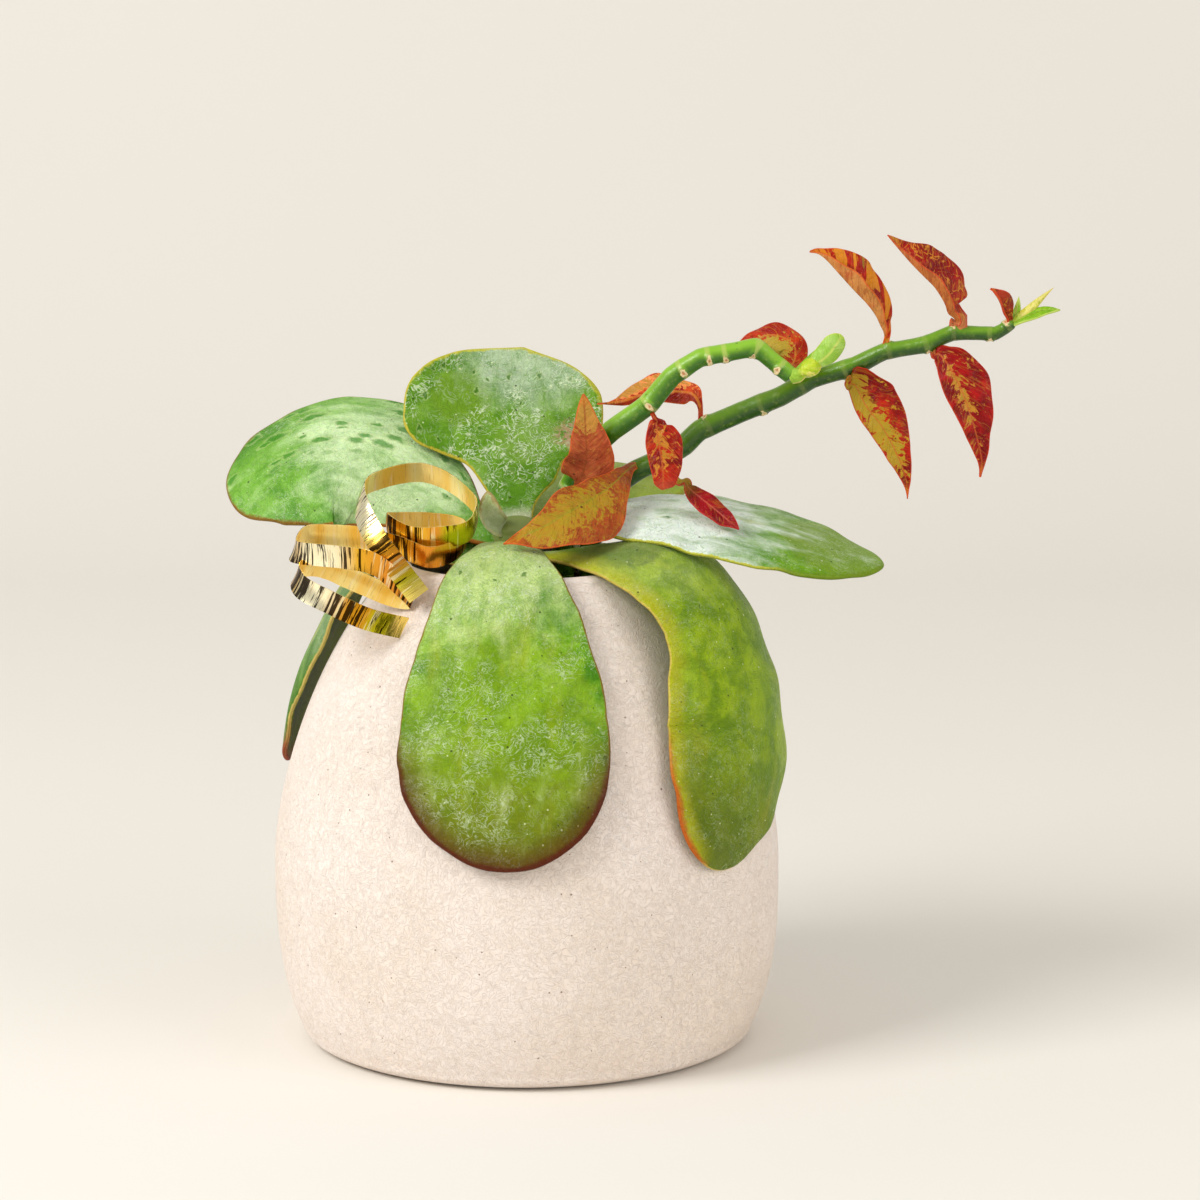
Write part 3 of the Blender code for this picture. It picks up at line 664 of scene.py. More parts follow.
def grow_blade(name, blade, rows, columns):
    """A closed skin round the blade. Its points carry how far across and along the leaf they
    are, which face they are on, and how far from the margin, all in millimetres."""
    lower = int(rows * LOWER_ROWS)
    tip_rows = np.sin(np.linspace(0, math.pi / 2, rows - lower))
    shares = np.concatenate([np.linspace(0, blade.belly, lower, endpoint=False),
                             blade.belly + (1 - blade.belly) * tip_rows])[:-1]
    spine = smooth_path(blade.spine, shares)
    along = unit(smooth_path(blade.spine, np.minimum(shares + 0.01, 1))
                 - smooth_path(blade.spine, np.maximum(shares - 0.01, 0)))
    length = np.linalg.norm(np.diff(smooth_path(blade.spine, 200), axis=0), axis=1).sum()
    start = np.array(blade.face, float)
    end = np.array(blade.face_tip or blade.face, float)
    face = start + (end - start) * shares[:, None]
    face = unit(face - along * np.sum(face * along, axis=1, keepdims=True))
    across = np.cross(along, face)

    angle = np.linspace(0, 2 * math.pi, 2 * columns, endpoint=False)
    sides, front = np.cos(angle), np.where(np.sin(angle) >= 0, 1.0, -1.0)
    right, left = half_widths(blade, shares, length)
    on_right = sides >= 0
    out, up, slope = [np.where(on_right, a, b) for a, b in zip(
        across_section(blade, right, sides, shares, 1), across_section(blade, left, sides, shares, -1))]
    edge = np.where(on_right, right[:, None], left[:, None])
    sign = np.where(on_right, 1.0, -1.0)
    steep = np.where(on_right, np.gradient(right, shares * length)[:, None],
                     np.gradient(left, shares * length)[:, None])
    margin = edge * (1 - np.abs(sides)) / np.sqrt(1 + steep**2)
    margin = np.minimum(margin, ((1 - shares) * length)[:, None])

    draw = np.random.default_rng(blade.seed)
    turn = draw.uniform(0, 2 * math.pi, 4)
    run = (shares * length)[:, None] * 2 * math.pi / blade.wave_length
    ripple = np.where(on_right, np.sin(run + turn[0]) + 0.5 * np.sin(run * 1.7 + turn[1]),
                      np.sin(run * 1.13 + turn[2]) + 0.5 * np.sin(run * 0.6 + turn[3]))
    opening = ease(shares * 4)[:, None]
    base = spine[:, None, :] + across[:, None, :] * (sign * out)[..., None] + face[:, None, :] * up[..., None]
    lift = blade.wave * ripple * np.abs(sides) ** 3 * opening
    lift = lift + blade.dents * swell(base, DENTS_APART, blade.seed) * opening

    body = blade.rim + (blade.thick - blade.rim) * (1 - sides**2) * (1 - shares[:, None] ** 6)
    rounding = np.clip(margin / (blade.rim * RIM_ROUNDING), 0, 1)
    body = body * np.sqrt(1 - (1 - rounding) ** 2) / 2
    offset = lift + front * body
    sideways = (sign * np.sin(slope))[..., None]
    lean = face[:, None, :] * np.cos(slope)[..., None] - across[:, None, :] * sideways
    points = base + lean * offset[..., None]

    ring = 2 * columns
    ends = [points[0].mean(axis=0), np.array(blade.spine[-1], float)]
    leaf = mesh_object(name, np.vstack([points.reshape(-1, 3), ends]), close_ends(len(shares), ring))
    mark = np.stack([edge * sides, np.repeat((shares * length)[:, None], ring, axis=1),
                     np.repeat(front[None, :], len(shares), axis=0)], axis=-1).reshape(-1, 3)
    mark_points(leaf, "blade", np.vstack([mark, (0, 0, 1), (0, length, 1)]))
    mark_points(leaf, "margin", np.append(margin.reshape(-1), (blade.root / 2, 0.0)))
    return leaf, length


@dataclass
class Wax:
    """How one paddle leaf is coloured. Places on it are (across, along, radius) in mm, and a
    patch adds its colour and its strength. A band is its side, 1 or -1, its width, its colour
    and its strength, and then the blush keeps to that side too."""

    deep: tuple
    bright: tuple
    ripe: tuple = (196, 188, 60)
    ripeness: float = 0.2
    bloom: float = 0.4
    bloom_at: tuple = (0, 40, 40)
    bloom_colour: tuple = (222, 230, 208)
    rim: tuple = (176, 150, 60)
    rim_width: float = 0.7
    blush: tuple = (110, 48, 22)
    blush_from: float = 2.0
    blush_width: float = 5.0
    blush_start: float = 0.62
    patches: tuple = ()
    flecks: float = 0.2
    fleck_length: float = 2.5
    fleck_radius: float = 0.7
    fleck_colour: tuple = (56, 110, 8)
    scratches: float = 0.5
    scar_at: tuple = None
    fleck_side: float = 0.0
    band: tuple = None
    back: tuple = None
    low: tuple = None
    gloss: float = 0.34
    pale_root: float = 0.0


def near(finish, where, spot):
    """1 inside a round place (across, along, radius) on a leaf, with a soft edge, and else 0."""
    ends = {0: finish.stretched(where, 1.0, 1.0, 0.0), 1: (spot[0], spot[1], 0.0)}
    away = finish.node("VectorMath", {"operation": "DISTANCE"}, ends, "Value")
    return away.between(spot[2] * 1.25, spot[2] * 0.45)


FACES_APART = 40.0


def waxed(name, wax, length, seed):
    """The finish of a paddle leaf: mottled flesh, rubbed wax, pits, scratches and a coloured rim."""
    leaf = Finish(name, Specular_IOR_Level=0.17, Subsurface_Weight=0.1, Subsurface_Scale=0.003,
                  Subsurface_Radius=(0.6, 1.0, 0.1))
    mark = leaf.marked("blade")
    across = leaf.part(mark, 0)
    along = leaf.part(mark, 1)
    margin = leaf.marked("margin", "Fac")

    def pattern_place(shift, along_scale=1.0, place=mark):
        return leaf.stretched(place, 1.0, along_scale, FACES_APART, shift)

    where = pattern_place(seed * 31.0)
    streaked = pattern_place(seed * 31.0, 0.28)

    mottle = leaf.cloud(where, 13.0, 4.0, 0.6, 0.4)
    leaf.coat = leaf.blend(mottle.between(0.34, 0.66), wax.deep, wax.bright)
    drift = leaf.cloud(streaked, 9.0, 3.0, 0.55)
    leaf.paint(drift.between(0.62 - wax.ripeness * 0.35, 0.78) * 0.75, wax.ripe)
    patches = leaf.cloud(where, 4.2, 3.0, 0.6, 0.6)
    leaf.paint(patches.between(0.5, 0.68) * 0.55, wax.deep)
    for spot in wax.patches:
        shade = near(leaf, mark, spot) + (patches - 0.5) * 0.9 + (mottle - 0.5) * 0.8
        leaf.paint(shade.between(0.25, 0.75) * spot[4], spot[3])

    if wax.low:
        lower = along + (mottle - 0.5) * 26 + (patches - 0.5) * 16
        lower = lower.between(length * 0.6, length * 1.02)
        leaf.paint(lower * 0.85, wax.low)
    one_side = 1.0
    if wax.band:
        one_side = (across * wax.band[0]).between(-3.0, 6.0)
        inner = (margin + (mottle - 0.5) * 9).between(wax.band[1], 1.0) * one_side
        leaf.paint(inner * wax.band[3], wax.band[2])

    rubbed = leaf.cloud(streaked, 6.0, 5.0, 0.65, 0.5)
    veil = near(leaf, mark, wax.bloom_at) * 0.8 + (mottle - 0.45) * 1.1 + (rubbed - 0.5) * 1.5
    veil = veil.between(0.05, 1.15) * wax.bloom
    leaf.paint(veil, wax.bloom_colour)
    grain = leaf.cloud(where, 0.9, 2.0, 0.6)
    leaf.paint(grain.between(0.55, 0.75) * (veil * 0.4 + 0.03), (238, 242, 226))

    worn = leaf.cloud(where, 19.0, 1.0).between(0.44, 0.56)
    pieces_of_line = leaf.cloud(pattern_place(seed * 3.0), 5.0, 1.0).between(0.46, 0.54)
    curls = leaf.lines(where, 3.4 + wax.scratches, 0.052, 2.8)
    scratch = curls * pieces_of_line * (worn * 0.7 + 0.3) * wax.scratches
    loops = leaf.lines(pattern_place(seed * 9.0), 6.5, 0.026, 3.6)
    leaf.paint((scratch + loops * worn * wax.scratches) * 0.36, (220, 236, 198))
    worn_through = leaf.lines(pattern_place(seed * 21.0), 4.6, 0.045, 3.0) * (1 - pieces_of_line)
    leaf.paint(worn_through * veil * wax.scratches * 0.6, wax.deep)
    dots = leaf.specks(where, 5.2, 0.24, 0.3)
    leaf.paint(dots * 0.65, (232, 240, 190))
    pits = leaf.specks(pattern_place(seed * 17.0 + 5), 9.0, 0.3, 0.4)
    leaf.paint(pits * 0.8, (52, 62, 20))
    jagged = leaf.shaken(mark, 2.6, 3.4)
    long_marks = pattern_place(seed * 13.0, 1.0 / wax.fleck_length, jagged)
    fleck_start = 0.62 - wax.flecks * 0.3
    fleck_room = leaf.cloud(where, 24.0, 1.0).between(fleck_start, fleck_start + 0.06)
    if wax.fleck_side:
        fleck_room = fleck_room * (across * wax.fleck_side).between(-7.0, 5.0)
    flecks = leaf.specks(long_marks, 5.2, wax.fleck_radius, wax.flecks, 0.5) * fleck_room
    leaf.paint(flecks * 0.75, wax.fleck_colour)
    ringed = leaf.specks(long_marks, 5.2, wax.fleck_radius * 1.5, wax.flecks, 0.2) * fleck_room * (1 - flecks)
    leaf.paint(ringed * 0.25, (226, 238, 170))

    if wax.scar_at:
        scarred = near(leaf, mark, wax.scar_at) * leaf.cloud(where, 1.6, 3.0).between(0.4, 0.55)
        leaf.paint(scarred * 0.85, (188, 150, 118))
    if wax.back:
        behind = leaf.part(mark, 2).between(0.1, -0.1)
        leaf.paint(behind * 0.85, wax.back)
    if wax.pale_root:
        root = along.between(wax.pale_root, wax.pale_root * 0.3)
        leaf.paint(root * 0.7, (226, 228, 196))

    ragged = margin + (leaf.cloud(where, 1.8, 3.0) - 0.5) * 0.9
    leaf.paint(ragged.between(wax.rim_width * 1.5, wax.rim_width * 0.6), wax.rim)
    blush_start = length * wax.blush_start
    towards_tip = (along + (mottle - 0.5) * 20).between(blush_start, blush_start + length * 0.22)
    if wax.band:
        towards_tip = towards_tip * one_side
    glow = (margin + (patches - 0.5) * 4).between(wax.blush_width, 0.6) * towards_tip
    leaf.paint(glow * 0.75, wax.blush)
    line = ragged.between(wax.blush_from, wax.blush_from * 0.4) * towards_tip
    leaf.paint(line * 0.9, wax.blush)
    leaf.feed("Base Color", leaf.coat)
    leaf.feed("Roughness", wax.gloss + veil * 0.25 + (grain - 0.5) * 0.2 - dots * 0.1)
    ribbing = leaf.cloud(streaked, 2.2, 3.0, 0.6)
    emboss = leaf.lines(where, 2.8, 0.09, 2.2)
    leaf.relief(scratch * 0.08 + dots * 0.06 - pits * 0.12 - flecks * 0.08 + ribbing * 0.2
                + emboss * 0.15 + grain * 0.04 + mottle * 0.4)
    return leaf


PADDLE_ROWS = 150
PADDLE_COLUMNS = 56


def paddle(node, blade, wax):
    """Grows one paddle leaf, waxes it and stands it in its node's place."""
    leaf, length = grow_blade(node + "_leaf", blade, PADDLE_ROWS, PADDLE_COLUMNS)
    dress(leaf, waxed(node + "_wax", wax, length, blade.seed), node)


paddle("paddle_front", Blade(
    spine=((-4, -7, 166.5), (-5, -14, 167.5), (-6.5, -24, 169), (-7, -36, 168.3), (-7, -49, 160.8),
        (-6.5, -63.5, 141.5), (-6.4, -76, 117), (-7.3, -82.6, 99), (-8.8, -86.5, 84), (-9.8, -87.5, 76.3)),
    face=(-0.05, -1, 1), width=69.5, root=10, belly=0.74, arch=95, thick=4.4, seed=1),
    Wax(deep=(70, 130, 2), bright=(126, 180, 22), ripe=(158, 178, 14), ripeness=0.3, bloom=0.7,
        bloom_at=(2, 20, 50), bloom_colour=(216, 232, 158), rim=(140, 112, 36), blush=(88, 28, 4),
        blush_from=2.8, blush_width=13.0, scratches=0.9, flecks=0.2, fleck_length=1.3,
        patches=((2, 94, 40, (160, 178, 14), 0.3),), low=(112, 112, 14)))

paddle("paddle_drape_right", Blade(
    spine=((0, -5.5, 162.5), (8, -11, 164), (18, -19, 166.5), (33, -28, 167.8), (49, -33.5, 163),
        (60.5, -36, 150.5), (67.5, -39.5, 131), (70.2, -45, 110), (65.5, -55.5, 90), (57.5, -64.5, 73)),
    face=(0.75, -0.65, 1), face_tip=(0.85, -0.6, 0.2), width=61, root=9, belly=0.7, arch=75, thick=4.4,
    trims=((1, 0.5, 0.1, -2.6), (-1, 0.9, 0.03, -1.4)), seed=2),
    Wax(deep=(104, 140, 0), bright=(154, 184, 10), ripe=(166, 176, 10), ripeness=0.3, bloom=0.2,
        bloom_at=(0, 50, 24), bloom_colour=(206, 214, 150), rim=(206, 186, 84), rim_width=0.3,
        band=(1, 8.0, (186, 184, 16), 0.75), blush=(190, 92, 24), blush_from=0.9, blush_width=2.4,
        blush_start=0.72, scratches=0.3, flecks=0.2, fleck_length=1.6, fleck_colour=(66, 100, 6),
        gloss=0.38, low=(88, 102, 4),
        # The second patch is painted shade: it darkens the drape's top where the spread leaf lies over it.
        patches=((-24, 84, 16, (84, 120, 8), 0.5), (-8, 32, 24, (66, 98, 20), 0.7))))

paddle("paddle_spread_right", Blade(
    spine=((0, -4, 170), (9, -4, 172.5), (24, -4, 176.3), (44, -3, 177.2), (64, -3, 174.9), (84, -3, 170.3),
        (104, -4, 163.8), (118.5, -5, 160)),
    face=(0.1, -0.11, 1), face_tip=(0.1, -0.28, 1), width=57, root=9, belly=0.55, point=1.6, arch=150,
    thick=4.2, seed=3),
    Wax(deep=(88, 144, 0), bright=(126, 174, 16), bloom=1.2, bloom_at=(2, 34, 56),
        bloom_colour=(232, 244, 232), rim=(196, 196, 70), rim_width=0.3, blush=(112, 140, 20),
        blush_from=0.5, blush_width=2.0, ripeness=0.1, scratches=0.5, fleck_length=3.4, flecks=0.2,
        gloss=0.4, patches=((0, 104, 22, (118, 150, 26), 0.8),)))

paddle("paddle_tall_back", Blade(
    spine=((-3, -1, 172.5), (-4, 5, 178), (-5.6, 11, 184.5), (-6.8, 18.5, 193), (-6, 27, 203.5),
        (-4, 34, 215.5), (-2, 40, 228)),
    face=(0.02, -0.8, 0.6), width=68, root=10, belly=0.64, arch=-120, thick=4.2, seed=4,
    outline=((0, 5), (0.12, 7.3, 5), (0.25, 15.4, 8.5), (0.37, 19.5, 13.5), (0.42, 24, 23), (0.45, 28, 31),
        (0.51, 31, 35.3), (0.6, 31.5, 36.6), (0.71, 31, 36), (0.81, 28.5, 32.5), (0.89, 23, 26),
        (0.95, 15, 17.5), (1, 0.5))),
    Wax(deep=(84, 136, 16), bright=(122, 168, 46), ripe=(120, 170, 50), bloom=0.6, bloom_at=(2, 70, 26),
        bloom_colour=(204, 218, 196), rim=(196, 182, 60), rim_width=0.4, blush=(196, 190, 50),
        blush_from=0.5, blush_width=1.6, ripeness=0.0, scratches=1.7, flecks=0.6, fleck_length=1.5,
        scar_at=(23, 38, 8), pale_root=9.0,
        patches=((-18, 48, 12, (120, 156, 36), 0.5), (8, 36, 12, (128, 166, 66), 0.6))))

paddle("paddle_left", Blade(
    spine=((-7, -4, 168), (-14, -2.5, 171), (-22, 3, 175), (-33, 9, 182.5), (-48, 14, 192), (-63, 16, 195),
        (-78, 16, 191), (-90, 15, 184), (-98, 14, 176.5)),
    face=(0.0, -0.4, 1), face_tip=(-0.5, -0.7, 0.75), width=64.5, root=10, belly=0.58, swell=1.6, arch=130,
    thick=4.2, seed=5),
    Wax(deep=(80, 144, 26), bright=(126, 184, 62), ripe=(140, 196, 90), bloom=0.9, bloom_at=(0, 50, 33),
        bloom_colour=(222, 246, 190), rim=(170, 104, 36), blush=(128, 96, 26), blush_from=0.7,
        blush_width=2.0, ripeness=0.1, scratches=0.6, flecks=0.9, fleck_length=2.0, fleck_radius=1.25,
        fleck_side=1.0, fleck_colour=(50, 132, 2), gloss=0.34))

paddle("paddle_low_left", Blade(
    spine=((-6, -4.5, 161.5), (-14, -1.7, 163.5), (-28, 7, 168), (-44, 13.5, 165.5), (-59, 19, 152),
        (-70, 22, 132.5), (-78, 25, 112), (-81, 27, 98), (-81.5, 28, 88)),
    face=(-1, 0.14, 1), face_tip=(-1, 0.14, 0.2), width=52, root=9, belly=0.68, arch=80, thick=4.0, seed=6),
    Wax(deep=(62, 114, 12), bright=(98, 144, 34), bloom=0.22, bloom_at=(-14, 60, 34), rim=(196, 176, 96),
        rim_width=0.3, blush=(150, 50, 30), blush_from=1.6, blush_width=8.0, blush_start=0.8,
        back=(108, 122, 2), gloss=0.6))

paddle("paddle_back_right", Blade(
    spine=((-1, 1, 168), (0, 6, 170), (0.5, 16, 174), (5, 31, 178), (19, 42.5, 181), (37, 48, 181),
        (54, 50, 178)),
    face=(0.1, -0.3, 1), width=33, root=7, belly=0.62, swell=1.7, arch=120, thick=3.6, seed=7),
    Wax(deep=(146, 176, 24), bright=(176, 202, 54), bloom=0.1, rim=(200, 200, 80), blush=(150, 150, 40),
        blush_from=0.8, blush_width=2.0, scratches=0.1, flecks=0.1))

paddle("paddle_back", Blade(
    spine=((-2.5, -2, 163.4), (-3.2, 7, 165.2), (-8, 20, 168.9), (-12, 36, 168.6), (-14, 52, 159.5),
        (-15, 68, 140), (-15, 80, 116), (-14, 86, 96)),
    face=(-0.05, 1, 1), width=60, root=8.5, belly=0.7, swell=1.4, arch=90, thick=4.2, seed=8),
    Wax(deep=(96, 136, 16), bright=(150, 184, 40), bloom=0.45, bloom_at=(0, 52, 30), blush=(120, 60, 20),
        ripeness=0.3))

paddle("paddle_inner_small", Blade(
    spine=((-6, -7, 172), (-9, -10, 175), (-11, -13, 179), (-12, -14.5, 183), (-12.5, -15, 187)),
    face=(-0.3, -0.8, 0.6), width=8.6, root=5, belly=0.5, point=1.4, arch=-8, thick=2.0, rim=1.0, dents=0.1,
    wave=0.15, seed=9),
    Wax(deep=(172, 190, 128), bright=(206, 216, 172), ripe=(190, 196, 124), bloom=0.6, bloom_at=(0, 8, 6),
        rim=(206, 206, 160), blush=(170, 150, 90), blush_width=1.0, blush_from=0.4, scratches=0.2))


# The jointed stems
# Two smooth fleshy stems of a devil's backbone. They bend a little at each joint, where a
# fallen leaf has left an oval scar in a raised collar, cream with a corky orange middle.

STEM_SIDES = 40
STEM_ROWS = 640
STEM_SWELLS_APART = 17.0
STEM_SWELL = 0.12
COLLAR_RISE = 0.45
COLLAR_WIDTH = 0.55
COLLAR_REACH = 1.3
SCAR_RADIUS = 0.8
SCAR_DEPTH = 0.25
SCAR_PIT = 0.6
JOINT_RISE = 0.16
JOINT_REACH = 2.4
END_ROUNDING = 0.006
STEM_SLIMMING = 0.9
KINK = 0.65

STEMS = {
    "long": ((21, 22, 113, 4.0), (21, 22, 146, 4.0), (21, 22, 154, 4.0), (21.5, 21.5, 168, 4.0),
             (26, 17, 182, 4.0), (36.5, 9, 190.3, 4.0), (45, 8, 194.5, 3.9), (52.5, 8, 199, 3.9),
             (57.7, 8, 204, 3.9), (71, 8, 210, 3.8), (84, 6, 215.3, 3.7), (94.7, 6, 221.3, 3.5),
             (108.8, 4, 226, 3.4), (118.5, 2, 231, 3.2), (131.6, 0, 233.6, 3.0), (140.7, 0, 237.4, 2.8),
             (154.4, -2, 237.4, 2.4), (161, -2, 241.5, 1.8)),
    "short": ((12, 18, 113, 4.0), (12, 18, 146, 4.0), (12, 18, 154, 4.0), (12, 17, 172, 4.0),
              (14.2, 12.5, 184, 4.0), (20, 6, 196, 4.0), (28.4, 0, 205, 4.0), (40.2, -4, 214, 3.8),
              (48.1, -6, 223.8, 3.6), (57.2, -8, 230, 3.4), (66, -8, 231.8, 3.3), (75.5, -8, 233.4, 3.3),
              (81.5, -9, 228.8, 3.3), (87.7, -10, 223.8, 3.2)),
}

# Each scar is its share of the stem's length and its angle round it, where 0 faces the front
# and 90 faces up.
SCARS = {
    "long": ((0.30, 150), (0.36, 20), (0.514, 80), (0.598, -62), (0.665, 120), (0.734, -80), (0.807, 85),
             (0.862, -70), (0.905, 75), (0.958, -75), (0.988, 60)),
    "short": ((0.33, 160), (0.42, 10), (0.52, 120), (0.67, -4), (0.765, -20), (0.82, -28), (0.85, -45),
              (0.915, -60), (0.97, -30)),
}


def ring_frames(path):
    """Directions along, towards the front and up at each point of a path, square to each other."""
    along = unit(np.gradient(path, axis=0))
    ahead = np.array([0.0, -1.0, 0.0])
    front = unit(ahead - along * (along @ ahead)[:, None])
    up = np.cross(front, along)
    up *= np.where(up[:, 2:] < 0, -1, 1)
    return along, front, up


def straight_path(stations, route):
    """The nearest point to each point of a route on the straight runs between the stations, so
    that a mix of the two bends more at its joints than between them."""
    stations = np.array(stations, float)
    best, least = route.copy(), np.full(len(route), np.inf)
    for low, high in zip(stations, stations[1:]):
        run = (high - low)[:3]
        share = np.clip((route[:, :3] - low[:3]) @ run / (run @ run), 0, 1)[:, None]
        spot = low + (high - low) * share
        away = np.linalg.norm(route[:, :3] - spot[:, :3], axis=1)
        nearer = away < least
        best[nearer], least[nearer] = spot[nearer], away[nearer]
    return best


def grow_stem(which):
    """A closed tube along the stem's route, raised round each scar. It carries how near each
    point is to a scar's middle, and how near it lies to a joint along the stem."""
    route = smooth_path(STEMS[which], STEM_ROWS)
    route += (straight_path(STEMS[which], route) - route) * KINK
    path, radius = route[:, :3], route[:, 3] * STEM_SLIMMING
    along, front, up = ring_frames(path)
    angle = np.linspace(0, 2 * math.pi, STEM_SIDES, endpoint=False)
    outward = front[:, None, :] * np.cos(angle)[:, None] + up[:, None, :] * np.sin(angle)[:, None]
    middle = path[:, None, :]
    skin = middle + outward * radius[:, None, None]
    rise = STEM_SWELL * swell(skin, STEM_SWELLS_APART, 31)
    scarred = np.zeros(skin.shape[:2])
    collar = np.zeros(skin.shape[:2])
    for share, turn in SCARS[which]:
        row = int(share * (STEM_ROWS - 1))
        turn = math.radians(turn)
        centre = path[row] + radius[row] * (front[row] * math.cos(turn) + up[row] * math.sin(turn))
        apart = skin - centre
        lengthwise = apart @ along[row]
        away = np.sqrt((0.9 * lengthwise) ** 2 + 0.3 * (np.sum(apart**2, axis=-1) - lengthwise**2))
        scarred = np.maximum(scarred, np.clip(1 - away / (2 * SCAR_RADIUS), 0, 1))
        rise = rise + COLLAR_RISE * np.exp(-((away - SCAR_RADIUS) / COLLAR_WIDTH) ** 2)
        rise = rise - SCAR_DEPTH * np.exp(-((away / SCAR_PIT) ** 2))
        length_off = np.abs(np.sum((middle - path[row]) * along[row], axis=-1))
        rise = rise + JOINT_RISE * np.exp(-((length_off / JOINT_REACH) ** 2))
        collar = np.maximum(collar, np.exp(-((length_off / COLLAR_REACH) ** 2)) * np.ones_like(away))
    share_along = np.linspace(0, 1, STEM_ROWS)[:, None]
    closing = np.sqrt(np.clip((1 - share_along) / END_ROUNDING, 0, 1))
    skin = middle + outward * ((radius[:, None] + rise) * closing)[..., None]
    faces = close_ends(STEM_ROWS, STEM_SIDES)
    stem = mesh_object(f"backbone_{which}_stem", np.vstack([skin.reshape(-1, 3), path[0], path[-1]]), faces)
    turned_out = bmesh.new()
    turned_out.from_mesh(stem.data)
    bmesh.ops.recalc_face_normals(turned_out, faces=turned_out.faces)
    turned_out.to_mesh(stem.data)
    turned_out.free()
    for name, values in (("scar", scarred), ("collar", collar)):
        mark_points(stem, name, np.append(values.reshape(-1), (0, 0)))
    return stem


def stem_finish(name, pale, deep, collars, seed):
    """Smooth green skin with darker streaks and cream scars, and painted light and shade: paler where it
    faces up, deeper where it faces down.
    """
    stem = Finish(name, Specular_IOR_Level=0.5, Subsurface_Weight=0.1, Subsurface_Scale=0.003,
                  Subsurface_Radius=(0.6, 1.0, 0.25))
    where = stem.place(seed)
    mottle = stem.cloud(where, 11.0, 3.0, 0.6)
    facing = stem.node("NewGeometry", {}, {}, "Normal")
    upward = stem.part(facing, 2)
    # Painted light and shade: the green runs from the deep colour on the downward side to the pale colour on
    # the upward side.
    painted_light_side = (upward + (mottle - 0.5) * 0.6).between(-0.35, 0.75)
    stem.coat = stem.blend(painted_light_side, deep, pale)
    stem.paint(stem.cloud(where, 2.0, 3.0, 0.6).between(0.5, 0.8) * 0.3, (164, 186, 66))
    stem.paint(stem.specks(where, 3.0, 0.3, 0.5, flat=False) * 0.6, (70, 96, 24))
    stem.paint(stem.marked("collar", "Fac").between(0.5, 0.9) * collars, (206, 206, 120))
    scar = stem.marked("scar", "Fac") + (stem.cloud(where, 1.4, 3.0) - 0.5) * 1.1
    stem.paint(scar.between(0.4, 0.54), (230, 208, 158))
    stem.paint(scar.between(0.72, 1.0) * 0.8, (200, 112, 60))
    stem.feed("Base Color", stem.coat)
    stem.feed("Roughness", 0.22 + mottle * 0.16 + scar.between(0.3, 0.5) * 0.3)
    stem.relief(stem.cloud(where, 1.6, 3.0, 0.6) * 0.12 + scar * stem.cloud(where, 0.5, 2.0) * 0.25)
    return stem


# Each stem's pale colour is its painted lit side, and its deep colour its painted shaded side.
long_skin = stem_finish("long_stem_skin", (106, 154, 10), (34, 76, 0), 0.1, 3.0)
dress(grow_stem("long"), long_skin, "backbone_long")
short_skin = stem_finish("short_stem_skin", (136, 188, 40), (50, 104, 2), 0.36, 9.0)
dress(grow_stem("short"), short_skin, "backbone_short")


# The red leaves
# Thin glossy leaves folded along the midrib, crimson to orange, with olive and yellow left in
# streaks beside the midrib and a bright thin edge. Each hangs on a short stalk from its joint.

@dataclass
class Blush:
    """How one red leaf is coloured: its flesh, the yellow left along its midrib, and its back.
    The yellow core keeps to a side and a share of the length, and one half may be darker."""

    red: tuple
    deep: tuple
    yellow: tuple
    edge: tuple
    back: tuple
    midrib: tuple
    core: float = 0.5
    core_reach: float = 4.0
    core_side: float = 0.0
    core_share: float = 0.5
    core_run: float = 0.5
    swirls: float = 0.0
    broken: float = 1.0
    speckle: float = 0.3
    blocks: float = 0.0
    olive: tuple = (150, 128, 24)
    dark_half: float = 0.0
    stalk: tuple = (206, 120, 60)
    stalk_length: float = 5.0
    tip_colour: tuple = (206, 110, 24)
    gloss: float = 0.27


